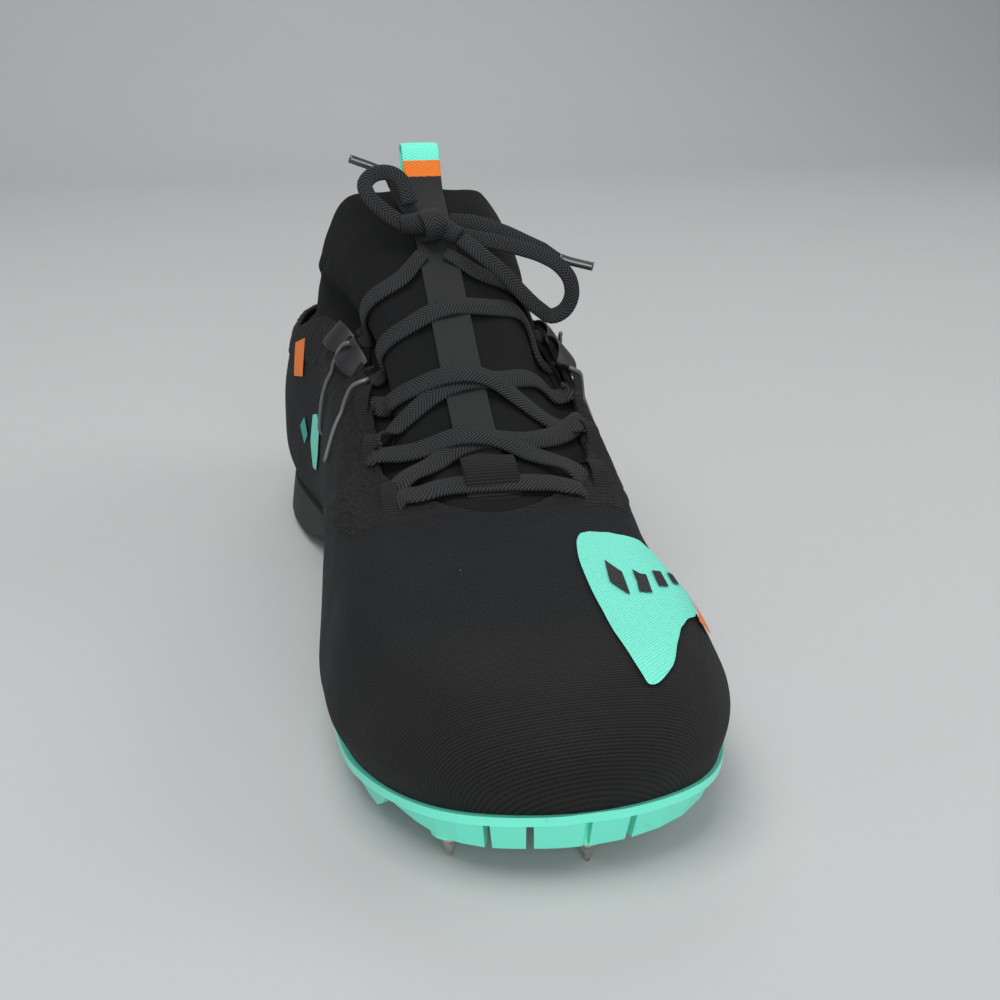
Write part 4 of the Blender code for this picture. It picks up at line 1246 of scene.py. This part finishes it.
RUNS = (
    Run("bar_1", (
        (0.4186, 4.72), (0.4418, 4.97), (0.4714, 5.08), (0.5042, 5.1), (0.5357, 5.05), (0.5743, 4.8),
    )),
    Run("cross_1_up", (
        (0.416, 4.8), (0.445, 5.104), (0.4791, 5.224), (0.5035, 5.251), (0.5318, 5.237), (0.5679, 5.19),
        (0.615, 5.08), (0.65, 4.86),
    )),
    Run("cross_1_down", (
        (0.3633, 4.77), (0.4, 5.03), (0.4398, 5.184), (0.4772, 5.251), (0.5035, 5.251), (0.5286, 5.211),
        (0.555, 5.104), (0.577, 4.86),
    ), 0.0016),
    Run("cross_2_up", (
        (0.372, 4.86), (0.39, 5.08), (0.4296, 5.264), (0.4656, 5.371), (0.4958, 5.411), (0.5306, 5.411),
        (0.5711, 5.385), (0.625, 5.2), (0.678, 4.9),
    )),
    Run("cross_2_down", (
        (0.33, 4.88), (0.345, 5.04), (0.4, 5.26), (0.4546, 5.398), (0.4894, 5.425), (0.5228, 5.411),
        (0.5511, 5.331), (0.5807, 5.211), (0.618, 5.04), (0.647, 4.8),
    ), 0.0016),
    Run("bar_4", (
        (0.308, 5.03), (0.318, 5.1), (0.37, 5.32), (0.4334, 5.518), (0.4707, 5.585), (0.5023, 5.612),
        (0.5318, 5.612), (0.5807, 5.572), (0.64, 5.32), (0.672, 5.17), (0.682, 5.1),
    )),
    Run("to_knot_inner", (
        (0.264, 5.06), (0.272, 5.13), (0.34, 5.4), (0.4231, 5.625), (0.4611, 5.7), (0.4875, 5.76),
    ), 0.0, (True, False)),
    Run("to_knot_outer", (
        (0.712, 5.12), (0.703, 5.2), (0.67, 5.36), (0.5923, 5.612), (0.5409, 5.706), (0.5087, 5.76),
    ), 0.0, (True, False)),
)


@dataclass
class Lacing:
    """The flat lace over the tongue and the loops and tabs that hold it."""

    looks: Finishes
    fit: SockFit
    tape: Tape
    width: float = 0.0060
    thickness: float = 0.0013
    first_tab: int = 4
    tuck: float = 0.0028
    edge_gap: float = 0.0006
    loop_level: float = 4.85
    loop_size: tuple[float, float] = (0.0042, 0.0008)
    tab_level: float = 4.86
    tab_reach: float = 0.0085
    tab_size: tuple[float, float] = (0.0086, 0.0010)

    LOOP_LEVELS = (4.66, 4.72, 4.78, 4.83, 4.88, 4.92, 4.96, 4.99)
    LOOP_LIFTS = (-0.0007, 0.0004, 0.0014, 0.0022, 0.0024, 0.0022, 0.0012, -0.0004)
    TAB_LIFTS = (-0.0006, 0.0010, 0.0019, 0.0023, 0.0024, 0.0023, 0.0019, 0.0010, -0.0006)

    def height(self, at: np.ndarray, xs: np.ndarray) -> np.ndarray:
        """Height of the lace's middle over the last's form, by its stops and by place across the ribbon."""
        levels, off = at[:, 1], np.abs(at[:, 0] - 0.5)
        dome = dome_share(off, levels) * self.fit.fullness
        dips = hermite((5.0, 5.14, 5.3, 5.48, 5.66, 6.0), (0.3, 0.9, 1.0, 0.7, 0.2, 0.0), levels)
        sock = -(self.fit.inset + self.fit.dip * dips)
        over_edge = 1.0 - smooth(5.0, 5.22, levels)
        half = 0.5 * self.tape.width
        ribbon = 0.0016 * smooth(half + 0.0045, half, np.abs(xs - self.tape.x))
        gap = self.edge_gap
        lifted = np.where(levels < 5.0, gap, (1.0 - over_edge) * (sock + ribbon) + over_edge * gap)
        return lifted + dome + self.thickness / 2 + 0.0003

    def path(self, run: Run) -> tuple[np.ndarray, np.ndarray]:
        """A run's middle line and the directions that its broad face looks to."""
        stops = np.array(run.stops)
        knots = running(np.hypot(*(np.diff(stops, axis=0) * (1.0, 0.25)).T))
        at = hermite(knots, stops, np.linspace(0.0, knots[-1], 60))
        form, normal = LAST.spots(at)
        normal = unit(evened(normal, np.ones(7) / 7))
        lift = self.height(at, form[:, 0])
        lift = lift + run.over * np.exp(-(((at[:, 0] - 0.503) / 0.035) ** 2))
        share = np.linspace(0.0, 1.0, len(at))
        for tucked, toward in zip(run.tucked, (share, 1.0 - share)):
            if tucked:
                lift = lift - self.tuck * smooth(0.15, 0.0, toward)
        return evened(form + normal * lift[:, None], np.ones(5) / 5, 1), normal

    def build(self) -> list[Object]:
        """Every run of the lace, and what holds it at the eyes."""
        pieces = []
        for run in RUNS:
            line, normal = self.path(run)
            sweep = lace_section(self.width, self.thickness)
            share = np.abs(np.linspace(-1.0, 1.0, len(line)))
            widths = 1.0 - 0.22 * smooth(0.78, 1.0, share)
            pieces.append(sweep.build(f"lace_{run.name}", line, normal, self.looks.lace, widths))
        seat(pieces[0], "lace_weave", "lace_rows")
        for piece in pieces[1:]:
            seat(piece, "lace_weave")
        for number, row in enumerate(EYES, start=1):
            for side in Side:
                make = self.tab if number >= self.first_tab else self.loop
                pieces.append(make(f"eye_loop_{side.word}_{number}", side, row))
        return pieces

    def loop(self, node: str, side: Side, row: EyeRow) -> Object:
        """A narrow webbing bridge over the lace's turn, close on the upper."""
        place = LAST.place_of(row.y(side), side, self.loop_level)
        on, out = (make([place], self.LOOP_LEVELS)[:, 0] for make in (LAST.points, LAST.normals))
        line = on + out * np.array(self.LOOP_LIFTS)[:, None]
        path = resampled(line, 0.0007)
        up = np.broadcast_to(LAST.normals([place], [4.75])[0, 0], path.shape)
        piece = Sweep(*self.loop_size, 16, 0.55).build(f"loop_{node[9:]}", path, up, self.looks.webbing)
        return seat(piece, "loop_film", node)

    def tab(self, node: str, side: Side, row: EyeRow) -> Object:
        """A smooth film tab along the throat's edge, over the lace's turn."""
        y = row.y(side)
        steps = np.linspace(-self.tab_reach, self.tab_reach, len(self.TAB_LIFTS))
        places = [LAST.place_of(y + step, side, self.tab_level) for step in steps]
        form, _ = LAST.spots([(place, self.tab_level) for place in places])
        _, normal = LAST.spots([(place, 4.50) for place in places])
        path = resampled(form + normal * np.array(self.TAB_LIFTS)[:, None], 0.0007)
        up = normal.mean(axis=0) + (0.0, 0.0, 0.35)
        share = np.linspace(-1.0, 1.0, len(path))
        strip = Sweep(*self.tab_size, 20, 0.5).build(
            f"tab_{node[9:]}", path, up, self.looks.film, 1.0 - 0.25 * np.abs(share) ** 3
        )
        return seat(strip, "loop_film", node)


@dataclass
class SideCords:
    """Thin cords that run from the upper two tabs down the sides."""

    looks: Finishes
    radius: float = 0.0006

    ROUTES = {
        "upper": (
            (0.29, 5.03), (0.276, 4.93), (0.261, 4.756), (0.2378, 4.435), (0.2173, 3.967), (0.2063, 3.311),
            (0.202, 2.75),
        ),
        "lower": (
            (0.3292, 5.02), (0.315, 4.84), (0.3009, 4.662), (0.2842, 4.368), (0.275, 4.05), (0.27, 3.6),
        ),
    }

    def build(self) -> list[Object]:
        """Two cords on each side."""
        pieces = []
        for side in Side:
            for name, stops in self.ROUTES.items():
                stops = np.array(stops)
                if side is Side.OUTER:
                    stops[:, 0] = 1.0 - stops[:, 0]
                fine = hermite(np.arange(len(stops)), stops, np.linspace(0, len(stops) - 1, 40))
                lift = np.interp(
                    fine[:, 1], (2.7, 2.95, 4.4, 4.8, 5.1), (-0.0012, 0.0008, 0.0009, 0.0034, 0.0036)
                )
                form, normal = LAST.spots(fine)
                line = form + normal * lift[:, None]
                path, up = resampled(line, 0.0012), np.array([0.0, 0.3, 1.0])
                sweep = Sweep(2 * self.radius, 2 * self.radius, 10, 1.0)
                piece = sweep.build(f"side_cord_{side.word}_{name}", path, up, self.looks.cord)
                pieces.append(seat(piece, "loop_film"))
        return pieces


@dataclass
class Bow:
    """The knot, its two loops and the two ends with their tips, on the routes of the part."""

    looks: Finishes
    width: float = 0.0044
    thickness: float = 0.0015
    knot: Point = (-0.0007, 0.0212, 0.1068)
    wrap_size: tuple[float, float] = (0.0064, 0.0016)
    core_size: tuple[float, float] = (0.0070, 0.0050)
    tip_size: tuple[float, float] = (0.0026, 0.0023)

    ROUTES = {
        "lace_loop_left": (
            (-0.0078, 0.0214, 0.1068), (-0.0104, 0.0222, 0.1082), (-0.014, 0.0232, 0.111),
            (-0.0172, 0.0245, 0.1145), (-0.0178, 0.0262, 0.1172), (-0.016, 0.0275, 0.1192),
            (-0.0128, 0.028, 0.1202), (-0.0098, 0.0275, 0.1198), (-0.0076, 0.0266, 0.1182),
            (-0.0066, 0.0258, 0.1158), (-0.006, 0.025, 0.1136), (-0.0056, 0.0244, 0.1118),
        ),
        "lace_loop_right": (
            (0.0058, 0.0195, 0.104), (0.011, 0.0175, 0.103), (0.017, 0.015, 0.1018),
            (0.023, 0.0128, 0.1004), (0.029, 0.0106, 0.0985), (0.0338, 0.0092, 0.0956),
            (0.0366, 0.0084, 0.0918), (0.0371, 0.008, 0.0872), (0.0349, 0.008, 0.0832),
            (0.0315, 0.008, 0.0818), (0.0275, 0.0072, 0.0842), (0.0222, 0.007, 0.0892),
            (0.0168, 0.0078, 0.095), (0.0112, 0.01, 0.0998), (0.0068, 0.0135, 0.1034),
        ),
        "lace_end_left": (
            (-0.0039, 0.0245, 0.1081), (-0.006, 0.0278, 0.1112), (-0.0076, 0.0312, 0.1145),
            (-0.0086, 0.0327, 0.117), (-0.0102, 0.0337, 0.119), (-0.0124, 0.0342, 0.1203),
        ),
        "lace_end_right": (
            (0.0056, 0.024, 0.1068), (0.01, 0.0232, 0.1066), (0.015, 0.0215, 0.1056),
            (0.0205, 0.019, 0.1038), (0.0262, 0.016, 0.1012), (0.031, 0.0138, 0.099),
            (0.0345, 0.0122, 0.0975),
        ),
    }
    CORES = {
        "left": (
            (0.0010, 0.0, 0.0002), (-0.0030, 0.0, 0.0005), (-0.0066, 0.0003, 0.0004),
            (-0.0082, 0.0004, 0.0003),
        ),
        "right": (
            (-0.0010, -0.0005, 0.0), (0.0030, -0.0010, -0.0006), (0.0058, -0.0020, -0.0022),
            (0.0080, -0.0032, -0.0030),
        ),
    }
    TIPS = {
        "lace_end_left": ("aglet_left", (-0.0128, 0.0343, 0.1205), (-0.0208, 0.0352, 0.1236)),
        "lace_end_right": ("aglet_right", (0.0350, 0.0120, 0.0973), (0.0436, 0.0092, 0.0950)),
    }

    def build(self) -> list[Object]:
        """The bow's pieces."""
        pieces = [self.wrap()]
        made: dict[str, tuple[Object, np.ndarray, list]] = {}
        for name, route in self.ROUTES.items():
            path = resampled(route, 0.0010)
            up = np.array([0.0, -1.0, 0.35])
            widths = None
            with_pieces = []
            if name in self.TIPS:
                node, start, end = self.TIPS[name]
                widths = np.interp(np.arange(len(path)), (0, len(path) - 6, len(path) - 1), (1.0, 1.0, 0.5))
                tip_path = resampled([path[-1], start, end], 0.0006)
                tip = Sweep(*self.tip_size, 14, 1.0).build(f"{node}_tip", tip_path, up, self.looks.tip)
                with_pieces = [seat(tip, "aglet_plastic", node)]
            sweep = lace_section(self.width, self.thickness)
            piece = sweep.build(f"{name}_weave", path, up, self.looks.lace, widths)
            seat(piece, "lace_weave", name)
            made[name] = (piece, path, with_pieces)
            pieces += [piece, *with_pieces]
        for name, (piece, path, with_pieces) in made.items():
            if name == "lace_end_left":
                continue
            if name == "lace_loop_left":
                end, _, tips = made["lace_end_left"]
                with_pieces = [end, *tips]
        return pieces

    def wrap(self) -> Object:
        """The knot: the lace wrapped round the roots of the loops, over a bundled core."""
        turns = np.linspace(-0.2, 2 * math.pi + 0.3, 44)
        middle = np.array(self.knot) + (0.0, -0.0006, -0.0004)
        path = np.array([
            middle + (0.0012 * math.cos(t + 0.6), -0.0044 * math.cos(t), 0.0036 * math.sin(t)) for t in turns
        ])
        wrap = lace_section(*self.wrap_size).build("knot_wrap", path, path - middle, self.looks.lace)
        for name, stops in self.CORES.items():
            path = resampled([middle + stop for stop in stops], 0.0007)
            core = Sweep(*self.core_size, 18, 0.9).build(
                f"knot_core_{name}", path, np.array([0.0, -1.0, 0.3]), self.looks.lace,
                np.linspace(1.0, 0.72, len(path)),
            )
            seat(core, "lace_weave")
        return seat(wrap, "lace_weave", "lace_knot")


@dataclass(frozen=True)
class PrintShape:
    """One printed shape: its outline as stops on the last, joined by straight lines."""

    name: str
    colour: str
    outline: Stops
    lift: float = 0.00062


PRINTS = (
    PrintShape("sail", "mint", (
        (0.539, 4.6), (0.544, 4.64), (0.552, 4.6), (0.566, 4.46), (0.582, 4.24), (0.594, 4.06),
        (0.599, 3.86), (0.6, 3.5), (0.597, 3.1), (0.59, 2.84), (0.58, 2.98), (0.57, 3.14), (0.56, 3.2),
        (0.55, 3.14), (0.54, 2.98), (0.53, 2.82), (0.5265, 2.86), (0.5262, 3.2), (0.528, 3.7),
        (0.531, 4.15), (0.5345, 4.46),
    )),
    PrintShape("sail_corner", "orange", (
        (0.5985, 3.16), (0.599, 2.8), (0.595, 2.5), (0.59, 2.34), (0.585, 2.5), (0.58, 2.86),
        (0.589, 2.88),
    ), 0.0008),
    PrintShape("diamond_1", "black", (
        (0.544, 4.16), (0.55, 4.32), (0.556, 4.14), (0.55, 3.98),
    ), 0.001),
    PrintShape("diamond_2", "black", (
        (0.557, 3.9), (0.564, 4.08), (0.571, 3.9), (0.564, 3.72),
    ), 0.001),
    PrintShape("diamond_3", "black", (
        (0.572, 3.66), (0.578, 3.82), (0.584, 3.66), (0.578, 3.5),
    ), 0.001),
    PrintShape("diamond_4", "black", (
        (0.5845, 3.42), (0.589, 3.54), (0.5935, 3.42), (0.589, 3.3),
    ), 0.001),
    PrintShape("heel_bar", "orange", (
        (0.133, 4.56), (0.156, 4.62), (0.158, 3.7), (0.14, 3.62),
    )),
    PrintShape("heel_patch", "mint", (
        (0.18, 2.96), (0.19, 3.1), (0.1985, 2.84), (0.196, 2.2), (0.188, 1.66), (0.18, 1.6), (0.1765, 2.2),
    )),
    PrintShape("heel_spot", "teal", (
        (0.157, 2.36), (0.164, 2.7), (0.1705, 2.3), (0.164, 1.96),
    )),
)


@dataclass
class Prints:
    """Plain prints on the knit: a sail with a chain of diamonds at the forefoot, patches at the heel."""

    looks: Finishes
    around: int = 120
    rings: int = 12

    def build(self) -> list[Object]:
        """All the prints, as thin films that follow the knit."""
        pieces = []
        for shape in PRINTS:
            stops = np.array(shape.outline)
            closed = np.vstack([stops, stops[:1]])
            knots = running(np.hypot(*(np.diff(closed, axis=0) * (1.0, 0.03)).T))
            spread = np.linspace(0.0, knots[-1], self.around, endpoint=False)
            rim = np.stack([np.interp(spread, knots, closed[:, axis]) for axis in range(2)], axis=1)
            rim = (np.roll(rim, 1, axis=0) + 2 * rim + np.roll(rim, -1, axis=0)) / 4
            middle = stops.mean(axis=0)
            rings = [middle + (rim - middle) * k / self.rings for k in range(1, self.rings + 1)]
            form, normal = LAST.spots(np.vstack([middle[None], *rings]))
            form = form + normal * (shape.lift + knit_waves(form))[:, None]
            faces = [(0, 1 + (i + 1) % self.around, 1 + i) for i in range(self.around)]
            faces += grid_quads(self.rings, self.around, True, 1).tolist()
            obj = make_object(f"print_{shape.name}", form, faces, self.looks.prints[shape.colour])
            set_cloth_map(obj, form[:, :2])
            pieces.append(seat(obj, "upper_mesh"))
        return pieces


@dataclass
class Sole:
    """The plate, pins and tread with worked finishes, and finer pieces for the foam and the footbed."""

    looks: Finishes
    nodes: dict[str, Object]
    sharp: float = 35.0
    longest: float = 0.004

    def build(self) -> list[str]:
        """Dresses the nodes and returns their names."""
        dress = {"plate": self.looks.plate, "heel_tread": self.looks.rubber}
        dress.update({name: self.looks.steel for name in self.nodes if name.startswith("pin_")})
        for name, look in dress.items():
            node = self.nodes[name]
            node.data.materials.clear()
            node.data.materials.append(look)
            if name == "plate":
                self.round_edges(node, 0.0003, 40)
        self.soft("midsole", "foam", self.looks.foam, 0.00016)
        self.soft("insole", "insole_cloth", self.looks.footbed, 0.00010)
        return [*dress, "midsole", "insole"]

    @staticmethod
    def round_edges(obj: Object, width: float, angle: float) -> None:
        """Adds a small bevel to the edges sharper than an angle in degrees."""
        bevel = obj.modifiers.new("soft edges", "BEVEL")
        bevel.width = width
        bevel.segments = 2
        bevel.limit_method = "ANGLE"
        bevel.angle_limit = math.radians(angle)

    def soft(self, name: str, slot: str, look: Material, uneven: float) -> Object:
        """A finer piece in a soft solid's place, closely divided, a little uneven and round at its edges.

        Args:
            name: the CAD node that it stands for.
            slot: its material slot; not used.
            look: its finish.
            uneven: height of the unevenness in metres.

        Returns:
            The new piece.
        """
        node = self.nodes[name]
        fine = bmesh.new()
        fine.from_mesh(node.data)
        fine.transform(node.matrix_world)
        bmesh.ops.remove_doubles(fine, verts=fine.verts, dist=1e-5)
        for _ in range(3):
            long_edges = [edge for edge in fine.edges if edge.calc_length() > self.longest]
            bmesh.ops.subdivide_edges(fine, edges=long_edges, cuts=1)
            bmesh.ops.triangulate(fine, faces=[face for face in fine.faces if len(face.verts) > 3])
        fine.normal_update()
        points = np.array([vertex.co for vertex in fine.verts])
        outward = np.array([vertex.normal for vertex in fine.verts])
        faces = [[vertex.index for vertex in face.verts] for face in fine.faces]
        fine.free()
        points = points + outward * (wobble(points, 29, 0.012) * uneven)[:, None]
        piece = make_object(f"{name}_foam", points, faces, look)
        piece.data.set_sharp_from_angle(angle=math.radians(self.sharp))
        self.round_edges(piece, 0.0005, self.sharp)
        return seat(piece, slot, name)


# The room and the camera


@dataclass
class Studio:
    """A pale grey seamless floor, soft light and a camera at the photograph's angle."""

    grey: Colour = (0.46, 0.47, 0.47)
    sky: Colour = (0.92, 0.95, 1.0)
    sky_strength: float = 0.33
    lens: float = 47.0
    viewpoint: Point = (-0.06295, -0.3429, 0.157)
    aim: Point = (0.0045, -0.045, 0.0475)

    LIGHTS = (
        ("key", (-0.38, -0.3, 1.45), 0.9, 15.0, (1.0, 0.99, 0.97)),
        ("front", (-0.15, -1.4, 0.55), 0.9, 12.5, (0.95, 0.97, 1.0)),
        ("right", (1.2, -0.2, 0.8), 0.9, 5.0, (1.0, 0.98, 0.95)),
        ("back", (0.3, 1.3, 1.2), 1.2, 7.0, (1.0, 1.0, 1.0)),
    )

    def floor(self) -> None:
        """The seamless floor and back wall."""
        profile = [(-2.2, 0.0), (1.2, 0.0)]
        turn = np.linspace(0.1, math.pi / 2, 12)
        profile += [(1.2 + 0.6 * math.sin(a), 0.6 - 0.6 * math.cos(a)) for a in turn]
        profile.append((1.8, 3.0))
        points = [(x, y, z) for y, z in profile for x in (-3.0, 3.0)]
        obj = make_object("floor", np.array(points), grid_quads(len(profile), 2, False), self.material())

    def material(self) -> Material:
        """Matt paper with faint unevenness."""
        g = Graph("floor paper")
        cloud = g.noise(g.place(), 3.0, 3.0)
        colour = g.mix(g.times(cloud, 0.25), self.grey, tuple(0.8 * c for c in self.grey))
        return g.finish(Base_Color=colour, Roughness=0.85, Specular_IOR_Level=0.2)

    def lights(self) -> None:
        """Soft lights from above, the front, the right and behind, and a pale room."""
        world = bpy.data.worlds.new("room")
        world.use_nodes = True
        background = world.node_tree.nodes["Background"]
        background.inputs[0].default_value = (*self.sky, 1.0)
        background.inputs[1].default_value = self.sky_strength
        bpy.context.scene.world = world
        bpy.context.scene.view_settings.view_transform = "Standard"
        for name, at, size, power, colour in self.LIGHTS:
            data = bpy.data.lights.new(name, "AREA")
            data.size = size
            data.energy = power
            data.color = colour
            lamp = bpy.data.objects.new(name, data)
            bpy.context.scene.collection.objects.link(lamp)
            lamp.location = at
            lamp.rotation_euler = (Vector((0.0, 0.0, 0.05)) - Vector(at)).to_track_quat("-Z", "Y").to_euler()

    def camera(self) -> None:
        """The photograph's own viewpoint, aimed at the shoe."""
        data = bpy.data.cameras.new("camera")
        data.sensor_width = 36.0
        data.lens = self.lens
        camera = bpy.data.objects.new("camera", data)
        bpy.context.scene.collection.objects.link(camera)
        at = Vector(self.viewpoint)
        camera.location = at
        camera.rotation_euler = (Vector(self.aim) - at).to_track_quat("-Z", "Y").to_euler()
        bpy.context.scene.camera = camera

    def build(self) -> None:
        """Floor, lights and camera."""
        self.floor()
        self.lights()
        self.camera()


def main() -> None:
    """Builds the shoe's classes in order."""
    logging.basicConfig(level=logging.INFO, format="%(name)s: %(message)s")
    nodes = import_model()["nodes"]
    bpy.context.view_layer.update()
    Studio().build()
    looks, fit, tape = Finishes(), SockFit(), Tape()
    bow = Bow(looks).build()
    LOG.info("bow: %d pieces", len(bow))
    upper = Upper(looks).build()
    LOG.info("upper: %d faces", len(upper.data.polygons))
    sock = Sock(looks, fit).build()
    LOG.info("sock: %d faces", len(sock.data.polygons))
    below = surface_of(nodes["upper"], nodes["sock"])
    ribbon = PullRibbon(looks, tape, below, nodes["keeper"]).build()
    LOG.info("ribbon: %d pieces", len(ribbon))
    laces = Lacing(looks, fit, tape).build()
    LOG.info("lacing: %d pieces", len(laces))
    cords = SideCords(looks).build()
    LOG.info("side cords: %d", len(cords))
    prints = Prints(looks).build()
    LOG.info("prints: %d", len(prints))
    LOG.info("sole: %s", ", ".join(Sole(looks, nodes).build()))


if __name__ == "__main__":
    main()
